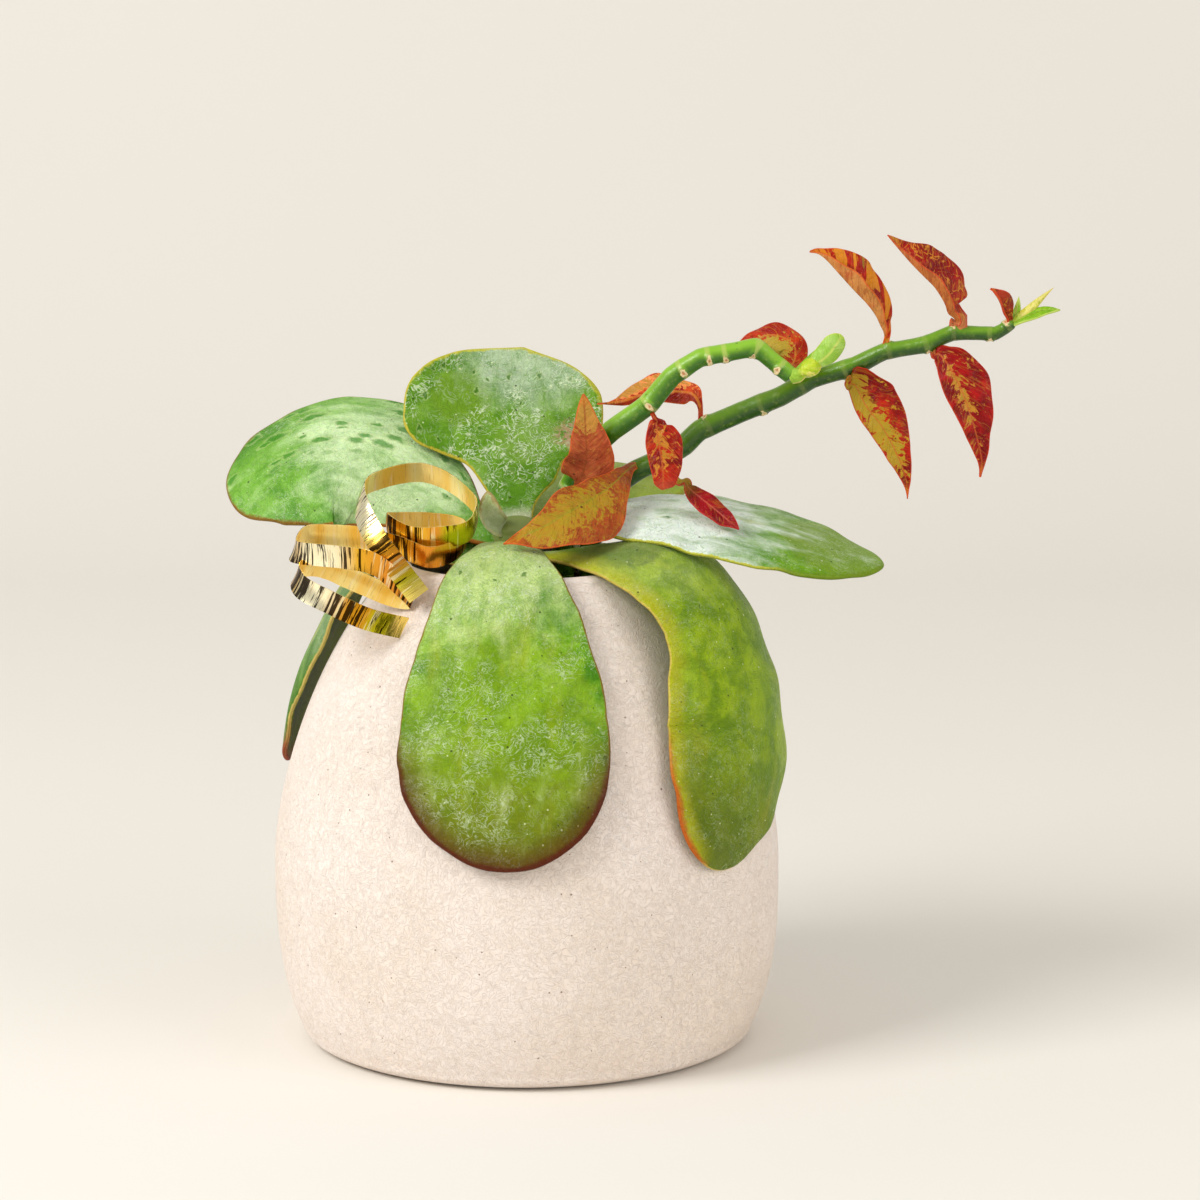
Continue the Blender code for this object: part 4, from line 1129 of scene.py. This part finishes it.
def reddened(name, blush, length, seed):
    """The finish of a red leaf: mottled red flesh, a yellow core in flames and veins, and a bright rim."""
    leaf = Finish(name, Specular_IOR_Level=0.2)
    mark = leaf.marked("blade")
    across = leaf.part(mark, 0)
    along = leaf.part(mark, 1)
    side = leaf.part(mark, 2)
    margin = leaf.marked("margin", "Fac")
    where = leaf.stretched(mark, 1.0, 1.0, 30.0, seed * 23.0)
    veinwise = {0: across * 0.45 - seed * 7.0, 1: along - abs(across) * 1.1, 2: side}
    slanted = leaf.node("CombineXYZ", {}, veinwise)
    mottle = leaf.cloud(where, 6.0, 4.0, 0.6, 0.6)
    leaf.coat = leaf.blend(mottle.between(0.36, 0.66), blush.deep, blush.red)
    leaf.paint(leaf.cloud(slanted, 1.6, 3.0, 0.6).between(0.5, 0.7) * 0.35, blush.deep)

    branching = leaf.cloud(slanted, 2.4, 4.0, 0.65, 0.9)
    beside = abs(across - blush.core_side).between(blush.core_reach * 1.4, 0.0)
    core_run = blush.core_run * length
    run = abs(along - blush.core_share * length).between(core_run, core_run * 0.3)
    broken = leaf.cloud(where, 3.2, 4.0, 0.65, 1.2)
    core = beside * run * blush.core + ((branching - 0.5) * 2.2 + (broken - 0.5) * 2.8) * blush.broken
    leaf.paint(core.between(0.42, 0.6) * 0.9, blush.yellow)
    leaf.paint((core + (mottle - 0.5) * 1.6).between(0.6, 0.95) * 0.6, blush.olive)
    if blush.blocks:
        banded = leaf.cloud(leaf.stretched(slanted, 0.8, 1.0, 1.0, seed * 5.0), 5.0, 2.0, 0.5, 0.5)
        leaf.paint(banded.between(0.53, 0.56) * blush.blocks, blush.yellow)
        leaf.paint(banded.between(0.4, 0.37) * blush.blocks, blush.olive)
    if blush.swirls:
        swirl = leaf.lines(where, 8.0, 0.04, 2.8) * broken.between(0.38, 0.5)
        swirl = swirl + leaf.lines(slanted, 5.0, 0.03, 1.0) * 0.4
        leaf.paint(swirl * blush.swirls, blush.yellow)
    leaf.paint(leaf.lines(slanted, 2.6, 0.03, 0.6) * 0.22, blush.yellow)
    leaf.paint(abs(across).between(0.5, 0.15) * 0.65, blush.midrib)
    leaf.paint(leaf.specks(slanted, 2.2, 0.26, blush.speckle * 0.6) * 0.6, blush.yellow)
    leaf.paint(leaf.specks(where, 7.0, 0.4, 0.3) * 0.85, (90, 16, 6))
    if blush.dark_half:
        far_half = (across * blush.dark_half).between(0.0, 0.7)
        leaf.paint(far_half * 0.7, (120, 16, 8))

    tips = (along + (mottle - 0.5) * 5).between(length * 0.87, length * 0.98)
    leaf.paint(tips * 0.7, blush.tip_colour)
    underside = leaf.blend(mottle.between(0.45, 0.8) * 0.5, blush.back, blush.red)
    underside = leaf.blend(leaf.lines(slanted, 2.2, 0.05, 0.5) * 0.4, underside, blush.deep)
    leaf.paint(side.between(0.2, -0.2) * 0.95, underside)
    stalk = (along + (mottle - 0.5) * 3).between(blush.stalk_length, blush.stalk_length * 0.55)
    leaf.paint(stalk * 0.85, blush.stalk)
    leaf.paint(margin.between(0.42, 0.15) * 0.8, blush.edge)
    leaf.feed("Base Color", leaf.coat)
    leaf.feed("Roughness", blush.gloss + (mottle - 0.5) * 0.3 + side.between(0.2, -0.2) * 0.15)
    veins = leaf.lines(slanted, 3.0, 0.06, 0.3)
    leaf.relief(mottle * 1.5 + branching * 0.45 - veins * 0.12 + leaf.cloud(where, 1.1, 2.0) * 0.08)
    return leaf


CRIMSON = Blush(red=(178, 20, 4), deep=(120, 2, 2), yellow=(200, 136, 34),
                edge=(206, 66, 30), back=(190, 112, 52), midrib=(196, 96, 40))
ORANGE = Blush(red=(204, 60, 2), deep=(150, 18, 0), yellow=(226, 154, 28),
               edge=(222, 96, 30), back=(188, 110, 44), midrib=(206, 130, 44))
TERRACOTTA = Blush(red=(184, 82, 26), deep=(146, 46, 12), yellow=(182, 136, 20),
                   edge=(222, 96, 44), back=(182, 104, 54), midrib=(150, 146, 34),
                   olive=(160, 146, 24), gloss=0.4)
LEAF_ROWS = 120
LEAF_COLUMNS = 34


def stem_leaf(which, name, blade, blush):
    """Roots one leaf in its stem and stands it in the stem's node."""
    line = smooth_path(STEMS[which], 400)[:, :3]
    nearest = line[np.argmin(np.linalg.norm(line - blade.spine[0], axis=1))]
    blade = replace(blade, spine=(tuple(nearest), *blade.spine[1:]))
    leaf, length = grow_blade(f"{which}_{name}_leaf", blade, LEAF_ROWS, LEAF_COLUMNS)
    finish = reddened(f"{which}_{name}_red", blush, length, blade.seed)
    dress(leaf, finish, "backbone_" + which)


def red_leaf(which, name, blush, spine, face, arch, fold, seed, outline, **changes):
    """One red leaf, with its own line and outline, and with what it changes in its colours."""
    blade = Blade(spine=spine, face=face, arch=arch, fold=fold, seed=seed, outline=outline, width=12,
                  root=2.2, thick=1.1, rim=0.7, wave=0.45, wave_length=13.0, dents=0.3)
    stem_leaf(which, name, blade, replace(blush, **changes))


red_leaf("long", "low", TERRACOTTA,
    spine=((37, 7, 190), (35.7, 5, 192.4), (32.7, -1, 190.9), (27.7, -10, 187.5), (20.5, -20, 184),
        (14.6, -27, 181.9), (8.2, -32, 178.9), (1.8, -35, 176.2), (-6.9, -37, 172.9)),
    face=(0.0, -1, 0.5), arch=60, fold=(12, 12), seed=11,
    outline=((0, 1.1), (0.07, 1.6), (0.15, 2.6), (0.31, 5.2, 7.2), (0.49, 7.2, 14.4), (0.62, 8.2, 14.4),
        (0.76, 5.2, 10), (0.88, 3, 5), (0.96, 1, 1.4), (1, 0.2)),
    core=0.76, core_reach=11.0, core_side=-1.0, core_share=0.64, core_run=0.5, swirls=0.3, broken=0.5,
    yellow=(178, 138, 30), red=(180, 84, 30), deep=(150, 60, 20))
red_leaf("long", "arched", ORANGE,
    spine=((57.5, 8, 204), (57.9, 8.4, 209), (57.4, 9, 212.7), (55.4, 11, 215.5), (51.1, 13, 216.1),
        (44.4, 13, 216.1), (37.7, 13, 214.8), (31.1, 12, 212.9), (23.4, 11, 212.4)),
    face=(0.0, -0.9, 1), arch=-30, fold=(0, -40), seed=12,
    outline=((0, 1), (0.2, 1.1, 1), (0.3, 4.2, 3.4), (0.38, 5.4, 4), (0.52, 7.6, 3.6), (0.66, 6.2, 3),
        (0.8, 3.4, 1.6), (0.88, 1, 0.8), (1, 0.3)),
    core=1.3, core_side=4.0, core_share=0.66, yellow=(255, 158, 82), red=(226, 76, 16), dark_half=-1.0,
    stalk=(170, 44, 26), stalk_length=9.0, tip_colour=(140, 20, 10))
red_leaf("long", "crimson", CRIMSON,
    spine=((45, 7, 193.5), (49.7, 0, 188.4), (52.8, -5, 187.8), (54.1, -8, 186.3), (61.3, -13, 181.1),
        (65.6, -16, 177.9), (70, -18, 174.7)),
    face=(0.3, -1, 0.5), arch=14, fold=(14, 14), seed=13,
    outline=((0, 1.4), (0.3, 1.5), (0.38, 1.9), (0.44, 1.4), (0.5, 2.6, 2.4), (0.6, 3.8, 3),
        (0.71, 4.4, 3.4), (0.84, 3.6, 2.9), (0.93, 1.8, 1.5), (1, 0.2)),
    core=0.0, broken=0.3, speckle=0.02, red=(158, 8, 20), deep=(116, 0, 12), edge=(196, 50, 44),
    midrib=(206, 96, 76), stalk=(160, 142, 36), stalk_length=25.0, tip_colour=(150, 16, 20))
red_leaf("long", "upper_left", ORANGE,
    spine=((117.9, 2, 232), (118.9, 0, 236.7), (117.1, -1, 240.3), (115.3, -2, 243.7), (112.4, -3, 247.5),
        (108.4, -4, 251.7), (103.8, -4, 256.7), (99.1, -4, 261.7), (96, -4, 263.9), (93, -4, 264.4)),
    face=(-0.15, -1, 0.4), arch=18, fold=(0, 148), seed=14,
    outline=((0, 1.1), (0.14, 1.3, 1.1), (0.24, 4.6, 2.6), (0.37, 7.8, 4.4), (0.5, 10, 5.6),
        (0.62, 10.4, 5.4), (0.74, 9, 4), (0.85, 5.5, 2.2), (0.92, 2.2, 1), (1, 0.3)),
    core=0.15, blocks=0.9, red=(196, 30, 2), deep=(140, 10, 2), yellow=(222, 140, 26), olive=(150, 112, 18),
    back=(206, 138, 72), stalk=(216, 150, 96))
red_leaf("long", "upper_right", CRIMSON,
    spine=((140.3, 0, 236), (140.9, -1, 240.2), (142.2, -2, 241.5), (140.9, -3, 243), (138.9, -4, 244.4),
        (137.5, -5, 247.9), (134.3, -5, 252.9), (130.4, -5, 256.9), (126.5, -4, 261), (122.5, -2, 265.5),
        (118.8, 0, 269.7)),
    face=(0.2, -1, 0.4), arch=24, fold=(0, 140), seed=15,
    outline=((0, 1.2), (0.06, 1.4), (0.1, 3.4, 2.6), (0.15, 4.4, 2.6), (0.2, 6.2, 2.4), (0.25, 8.4, 2.8),
        (0.31, 10.6, 3.4), (0.44, 12, 3.8), (0.58, 12, 3.2), (0.71, 10.2, 2.4), (0.85, 5.1, 1.2),
        (0.94, 1.8, 0.6), (1, 0.2)),
    core=0.1, swirls=0.9, red=(168, 16, 6), yellow=(206, 130, 36), stalk=(216, 140, 92), stalk_length=7.5,
    tip_colour=(180, 130, 40))
red_leaf("long", "lower_left", CRIMSON,
    spine=((107.5, 3, 224), (107.2, 0, 220.7), (108.8, -2, 220), (112, -4, 213.8), (117.4, -5, 206.8),
        (122.2, -6, 198.2), (125.3, -6, 190.2), (126, -6, 183)),
    face=(-0.1, -1, 0.2), arch=20, fold=(16, 16), seed=16,
    outline=((0, 1), (0.08, 1.2), (0.13, 2.2, 4.5), (0.27, 3.6, 10.9), (0.45, 4.8, 9.9), (0.66, 3.9, 5.9),
        (0.85, 2.2, 2), (0.95, 0.8), (1, 0.2)),
    core=0.95, core_reach=5.4, core_side=1.0, core_share=0.42, core_run=0.62, red=(188, 32, 4),
    yellow=(186, 142, 30), olive=(166, 146, 34))
red_leaf("long", "lower_right", CRIMSON,
    spine=((134.5, 0, 232.5), (134.8, -1, 230.6), (136.4, -2, 230.3), (139.4, -4, 226.4),
        (143.3, -5.5, 218.9), (146.5, -7, 210.3), (148.8, -7, 202.4), (150.3, -6, 195.7), (150, -6, 190.2)),
    face=(0.05, -1, 0.2), arch=20, fold=(16, 16), seed=17,
    outline=((0, 1), (0.06, 1.2, 1.5), (0.11, 2.4, 3.2), (0.19, 3.9, 7.4), (0.37, 6, 10.2), (0.57, 4.8, 8),
        (0.74, 2.9, 4.7), (0.88, 1.6, 2.1), (0.96, 0.7), (1, 0.2)),
    core=0.6, core_reach=3.0, core_share=0.36, core_run=0.36, speckle=0.6, yellow=(196, 136, 44),
    red=(176, 18, 14))
red_leaf("long", "end", CRIMSON,
    spine=((159.5, -2, 238.8), (159, -3, 241.9), (157.6, -4, 245.1), (155.7, -5, 248.9), (153.7, -5, 251.4),
        (152.4, -5, 252.6)),
    face=(0.3, -1, 0.3), arch=8, fold=(10, 60), seed=18,
    outline=((0, 1), (0.2, 1.8, 1.2), (0.42, 4.4, 1.8), (0.62, 3.9, 1.6), (0.85, 1.6, 0.8), (1, 0.2)),
    core=0.1, red=(168, 50, 20), deep=(120, 26, 10), stalk=(230, 190, 130), stalk_length=2.5)
red_leaf("short", "upright", TERRACOTTA,
    spine=((13.5, 9, 183), (17.4, 4, 187), (19.9, -1.5, 195.6), (19.7, -5.5, 204.6), (19.3, -8, 213.3),
        (18.8, -9, 218.2)),
    face=(-0.1, -1, 0.25), arch=-60, fold=(-4, 12), seed=19,
    outline=((0, 1.3), (0.1, 2.5), (0.2, 7, 6), (0.3, 8.8, 7.4), (0.42, 9.6, 7), (0.55, 8.8, 6),
        (0.7, 6.4, 4.6), (0.85, 3.6, 2.7), (0.94, 1.7, 1.5), (1, 0.3)),
    core=0.9, core_reach=9.0, core_share=0.92, core_run=0.34, red=(202, 98, 56), deep=(164, 66, 34),
    broken=0.8, yellow=(204, 146, 62), midrib=(160, 76, 34), olive=(184, 140, 56),
    tip_colour=(196, 120, 40))
red_leaf("short", "hanging", CRIMSON,
    spine=((41.5, -5, 212), (42.8, -8, 209.4), (42.8, -10, 207.8), (43.8, -12, 201.8), (44.8, -14, 195.5),
        (45.1, -15, 190.6), (44.8, -15, 187.3)),
    face=(0.1, -1, 0.1), arch=16, fold=(8, 8), seed=20,
    outline=((0, 0.9), (0.13, 0.8), (0.2, 1.2), (0.27, 2.4, 4.6), (0.43, 4.2, 7.4), (0.55, 4.6, 7.9),
        (0.68, 4.6, 7.1), (0.87, 3.6, 4.8), (0.95, 2.8, 3.6), (1, 0.4)),
    core=0.62, core_reach=5.0, core_share=0.6, core_run=0.4, core_side=-1.5, broken=0.8, red=(186, 34, 10),
    yellow=(206, 130, 40), stalk=(150, 30, 14), tip_colour=(196, 80, 50))
red_leaf("short", "behind_bud", ORANGE,
    spine=((86, -9, 225.5), (88.5, -5, 229.5), (87.5, -2, 234.3), (80, 1, 236.3), (68.5, 5, 231.5)),
    face=(0.1, -1, 0.9), arch=14, fold=(6, 6), seed=21,
    outline=((0, 1.5, 2), (0.2, 4, 6.5), (0.4, 5.4, 9), (0.6, 5.6, 9), (0.8, 4, 5.5), (0.92, 1.8, 2),
        (1, 0.3)),
    core=1.3, core_side=-5.0, core_reach=5.0, core_share=0.55, red=(196, 56, 10), yellow=(196, 156, 50),
    olive=(176, 158, 50))


# The green shoots
# The soft growing tips: a yellow spike and green leaflets at the end of the long stem, and a
# yellow knob with two young green leaves at the end of the short one.

SHOOT_SHAPE = {"wave": 0.05, "dents": 0.05}
YOUNG_GREEN = Blush(red=(146, 192, 36), deep=(120, 174, 20), yellow=(150, 196, 50),
                    edge=(206, 222, 110), back=(126, 176, 44), midrib=(214, 220, 110), core=0.0, speckle=0.0,
                    olive=(120, 170, 40), stalk=(140, 180, 50), tip_colour=(160, 200, 60))
YELLOW = Blush(red=(206, 200, 62), deep=(170, 180, 36), yellow=(232, 222, 120),
               edge=(222, 206, 110), back=(200, 196, 80), midrib=(232, 220, 130), core=0.6,
               speckle=0.03, olive=(176, 186, 50), stalk=(160, 190, 50), tip_colour=(226, 196, 90))

stem_leaf("long", "spike", Blade(
    spine=((160, -2, 240.5), (164, -3, 244), (169, -4, 249), (173.5, -4, 253)),
    face=(0.0, -1, 0.5), width=3.4, root=2.6, belly=0.3, tip=1.5, point=0.9, arch=4, thick=1.8, rim=0.8,
    seed=22, **SHOOT_SHAPE),
    YELLOW)
stem_leaf("long", "leaflet", Blade(
    spine=((160, -2, 240.5), (165, -4, 243), (170, -5, 245), (175.5, -5, 245.5)),
    face=(0.0, -0.8, 1), width=4.6, root=2.6, belly=0.55, tip=1.8, point=1.2, arch=4, thick=1.5, rim=0.8,
    fold=(24, 24), seed=23, **SHOOT_SHAPE),
    YOUNG_GREEN)
stem_leaf("long", "upper_leaflet", Blade(
    spine=((159.5, -2, 240.5), (161.5, -1, 244.5), (162.3, 0, 249.5)),
    face=(-0.6, -1, 0.3), width=3.0, root=2.2, belly=0.4, tip=1.5, point=1.0, arch=4, thick=1.4, rim=0.8,
    seed=24, **SHOOT_SHAPE),
    YOUNG_GREEN)
stem_leaf("short", "knob", Blade(
    spine=((87, -10, 223.5), (90, -11, 225), (93.5, -12, 227.5), (96.5, -12.5, 230)),
    face=(0.0, -1, 0.5), width=6, root=5.6, arch=6, thick=5.6, rim=3.0, seed=25,
    outline=((0, 2.4), (0.2, 2.4), (0.36, 1.9), (0.48, 2.7), (0.7, 3.1), (0.9, 2.2), (1, 0.4)),
        **SHOOT_SHAPE),
    replace(YELLOW, red=(190, 210, 44), deep=(168, 198, 36), core=0.1, midrib=(196, 212, 60),
            stalk=(150, 192, 66), stalk_length=5.0))
stem_leaf("short", "bud_front", Blade(
    spine=((93, -11, 226.5), (97.5, -12.5, 231), (101, -12.5, 235), (103.5, -12, 238)),
    face=(0.3, -1, 0.0), width=8.0, root=3.0, arch=7, thick=4.0, rim=1.2, seed=26,
    outline=((0, 1.5), (0.35, 1.8), (0.48, 3.2, 3.0), (0.66, 4.4, 3.8), (0.82, 4.4, 3.8), (0.94, 3.0, 2.6),
        (1, 0.8)), **SHOOT_SHAPE),
    replace(YOUNG_GREEN, red=(180, 216, 108), deep=(150, 198, 70), edge=(214, 220, 90)))
stem_leaf("short", "bud_back", Blade(
    spine=((93, -10, 227), (96.5, -9, 231), (100, -8.5, 234), (104.5, -8.5, 234.5)),
    face=(-0.2, -1, 0.4), width=5.6, root=3.0, belly=0.5, tip=2.0, point=1.7, arch=5, thick=2.4, rim=1.0,
    seed=27, **SHOOT_SHAPE),
    replace(YOUNG_GREEN, red=(158, 202, 70), deep=(130, 184, 44)))


# The gilt ribbon
# One strip of metallised curling film, pulled over a blade so that it stays in loops. The pull
# leaves fine creases across it. Its colour along its length, gold shifting to copper and olive, is
# partly the film's own and partly painted reflection: cream highlights, pale and dark gold, dark
# streaks and glints.

RIBBON_WIDTH = 7.6
RIBBON_THICKNESS = 0.3
RIBBON_ROWS = 760
RIBBON_COLUMNS = 12
RIBBON_CUP = 0.35
CREASES = ((3.1, 0.07), (1.7, 0.05), (0.9, 0.03))
SHARP_EDGE = math.radians(50)

# The strip's route from its tail: the way its width points, and the places where it does.
RIBBON = (
    ((0.8, 0.0, 0.6), ((-34, -44, 157),)), ((0.8, -0.05, 0.6), ((-42, -41.5, 167),)),
    ((0.75, -0.1, 0.6), ((-49, -37, 176),)), ((0.5, -0.2, 0.8), ((-53.5, -29, 184),)),
    ((0.25, -0.35, 0.9), ((-53, -21, 189),)), ((0.05, -0.45, 0.9), ((-45, -13, 191.5),)),
    ((0, -0.45, 0.9), ((-35, -9, 192.5), (-26, -11, 190))), ((-0.05, -0.4, 0.9), ((-19, -16, 185.5),)),
    ((0, -0.3, 0.95), ((-15.5, -22, 181.5), (-18, -29, 176), (-26, -33, 174.5), (-37, -33, 174.5),
     (-45, -28, 178), (-42, -21, 177.5), (-32, -18, 177), (-23, -19, 176), (-19, -23, 174),
     (-23, -30, 169.5), (-31, -34.5, 168))),
    ((0, -0.2, 1), ((-41, -32, 171), (-53, -26, 173), (-63, -24, 173.5))),
    ((0.2, -0.2, 0.95), ((-72, -26, 173.5),)), ((0.3, -0.2, 0.9), ((-75, -32, 170),)),
    ((0, -0.2, 1), ((-69, -39, 170),)), ((-0.05, -0.15, 1), ((-59, -42, 169.5),)),
    ((0.1, -0.1, 0.95), ((-49, -42, 167.5),)), ((0.3, -0.1, 0.9), ((-41.5, -40.5, 161.5),)),
    ((0.4, -0.2, 0.85), ((-36, -38.5, 155.3),)),
    ((0.4, -0.25, 0.85), ((-43, -35, 155.3), (-55, -33.5, 160))),
    ((0.35, -0.25, 0.87), ((-66, -32.8, 164.5),)), ((0.35, -0.2, 0.87), ((-73.5, -36, 164),)),
    ((0.4, -0.1, 0.87), ((-72, -43, 160), (-63, -48, 156))),
    ((0.42, -0.1, 0.87), ((-51, -46.5, 150.2), (-39, -41.9, 146.3))),
)


def crease_heights(along, seed):
    """Small random folds across the film, in mm, from half a millimetre to three apart."""
    draw = np.random.default_rng(seed)
    total = np.zeros_like(along)
    for apart, depth in CREASES:
        marks = np.arange(0, along[-1] + apart, apart)
        total += np.interp(along, marks, draw.uniform(-depth, depth, len(marks)))
    return total


def make_ribbon():
    """The strip as a closed skin. Its points carry how far across and along the film they are,
    and which face they are on."""
    stations = [(*place, *unit(np.array(axis))) for axis, places in RIBBON for place in places]
    path = smooth_path(stations, RIBBON_ROWS)
    middle, axis = path[:, :3], unit(path[:, 3:])
    forward = unit(np.gradient(middle, axis=0))
    normal = unit(np.cross(forward, axis))
    along = np.concatenate([[0], np.cumsum(np.linalg.norm(np.diff(middle, axis=0), axis=1))])
    width = np.linspace(-1, 1, RIBBON_COLUMNS + 1)
    ring_side = np.concatenate([width, width[::-1]])
    ring_face = np.concatenate([np.ones(len(width)), -np.ones(len(width))])
    folds = crease_heights(along, 41)[:, None]
    offset = folds + RIBBON_CUP * ring_side**2 + ring_face * RIBBON_THICKNESS / 2
    points = (middle[:, None, :] + axis[:, None, :] * (ring_side * RIBBON_WIDTH / 2)[:, None]
              + normal[:, None, :] * offset[..., None])
    ring = len(ring_side)
    last = (RIBBON_ROWS - 1) * ring
    faces = [*tube_faces(RIBBON_ROWS, ring), tuple(range(ring)), tuple(range(last, last + ring))[::-1]]
    ribbon = mesh_object("gilt_ribbon_strip", points.reshape(-1, 3), faces)
    ribbon.data.set_sharp_from_angle(angle=SHARP_EDGE)
    marks = np.empty((RIBBON_ROWS, ring, 3))
    marks[..., 0] = ring_side * RIBBON_WIDTH / 2
    marks[..., 1] = along[:, None]
    marks[..., 2] = ring_face
    mark_points(ribbon, "film", marks.reshape(-1, 3))
    return ribbon


RIBBON_LENGTH = 379.6

# From here on along the strip, the face that began outside lies inside the curls.
RIBBON_TURN = 208.0

# The film's golds, and a cream that is a painted highlight.
GOLD = (240, 184, 52)
PALE_GOLD = (255, 226, 120)
DARK_GOLD = (214, 150, 30)
COPPER = (230, 146, 52)
OLIVE_GOLD = (196, 186, 30)
PAINTED_CREAM_HIGHLIGHT = (255, 245, 205)

# Where the outer face changes colour, in millimetres from the strip's tail. The stops are partly the
# film's own tint and partly painted reflection: the cream stops are painted highlights, and the pale
# and dark gold stops are painted lighter and darker reflections.
OUTER_GOLDS_AND_REFLECTIONS = (
    (0, PALE_GOLD), (7, OLIVE_GOLD), (13, COPPER), (20, DARK_GOLD), (26, PALE_GOLD), (31, PAINTED_CREAM_HIGHLIGHT),
    (47, PAINTED_CREAM_HIGHLIGHT), (58, DARK_GOLD), (98, PALE_GOLD), (104, OLIVE_GOLD), (116, OLIVE_GOLD), (119, COPPER),
    (123, GOLD), (136, DARK_GOLD), (180, GOLD), (192, COPPER), (200, GOLD), (240, DARK_GOLD),
    (250, PAINTED_CREAM_HIGHLIGHT), (260, PAINTED_CREAM_HIGHLIGHT), (268, GOLD), (278, COPPER), (336, GOLD), (342, PAINTED_CREAM_HIGHLIGHT),
    (351, PAINTED_CREAM_HIGHLIGHT), (358, DARK_GOLD), (366, DARK_GOLD), (368, OLIVE_GOLD), (374, OLIVE_GOLD),
    (376, PALE_GOLD),
)

# Where dark streaks lie close together on the outer face, from 0 for none to 1: painted dark
# reflections in the creases across the film.
DARK_REFLECTION_STREAKS = (
    (0, 0.0), (14, 0.1), (21, 0.9), (28, 0.2), (44, 0.4), (52, 1.0), (60, 0.8), (98, 0.0), (116, 0.0),
    (124, 0.2), (136, 0.5), (180, 0.2), (194, 0.1), (202, 0.7), (238, 1.0), (247, 0.9), (254, 0.2),
    (264, 0.6), (273, 0.1), (290, 0.6), (332, 0.9), (343, 1.0), (349, 0.1), (358, 1.0), (364, 0.3),
    (372, 0.0),
)

gilt = Finish("gilt_film")
film = gilt.marked("film")
film_along = gilt.part(film, 1)
film_face = gilt.part(film, 2)
slow_bands = gilt.cloud(gilt.stretched(film, 0.02, 1.0, 0.0), 11.0, 2.0, 0.5)
reach_along = (film_along + (slow_bands - 0.5) * 5) / RIBBON_LENGTH
gold_and_reflection_stops = [(mm / RIBBON_LENGTH, tint(*colour)) for mm, colour in OUTER_GOLDS_AND_REFLECTIONS]
dark_reflection_stops = [(mm / RIBBON_LENGTH, (much, much, much, 1.0)) for mm, much in DARK_REFLECTION_STREAKS]
outer_gold_and_reflections = gilt.node("ValToRGB", {"stops": gold_and_reflection_stops}, {0: reach_along})
streaked = gilt.node("ValToRGB", {"stops": dark_reflection_stops}, {0: reach_along})
# Streaks across the film: its creases, raised in the relief, and where they gather, painted dark reflections.
streaks = gilt.cloud(gilt.stretched(film, 0.07, 1.0, 0.0, 7.0), 1.3, 3.0, 0.65)
fine_streaks = gilt.cloud(gilt.stretched(film, 0.09, 1.0, 0.0, 19.0), 0.5, 2.0, 0.6)
glints = gilt.cloud(gilt.stretched(film, 0.05, 1.0, 0.0, 31.0), 1.7, 3.0, 0.65)
outer_gold_and_reflections = gilt.blend(glints.between(0.57, 0.62) * 0.6, outer_gold_and_reflections, (255, 242, 190))
# Finer darker streaks of gold: painted reflections in the fine creases, which the relief also raises.
outer_gold_and_reflections = gilt.blend(fine_streaks.between(0.56, 0.66) * 0.35, outer_gold_and_reflections, (160, 100, 16))
# Painted dark reflections: near black where the streaks gather.
painted_dark_reflections = (streaks + streaked * 0.19).between(0.6, 0.635)
outer_gold_and_reflections = gilt.blend(painted_dark_reflections * 0.95, outer_gold_and_reflections, (36, 20, 5))
inside = gilt.blend(slow_bands.between(0.4, 0.62), (250, 204, 86), (255, 236, 150))
inside = gilt.blend(fine_streaks.between(0.58, 0.68) * 0.35, inside, (160, 120, 44))
inside = gilt.blend(glints.between(0.57, 0.64) * 0.4, inside, (255, 246, 210))
turned_over = (film_face * (RIBBON_TURN - film_along)).between(-1.0, 1.0)
gilt.feed("Base Color", gilt.blend(turned_over, outer_gold_and_reflections, inside))
gilt.feed("Metallic", 1.0 - turned_over * 0.65)
gilt.feed("Roughness", 0.16 + slow_bands * 0.1)
gilt.relief(streaks * 0.12 + fine_streaks * 0.04)
dress(make_ribbon(), gilt, "gilt_ribbon")
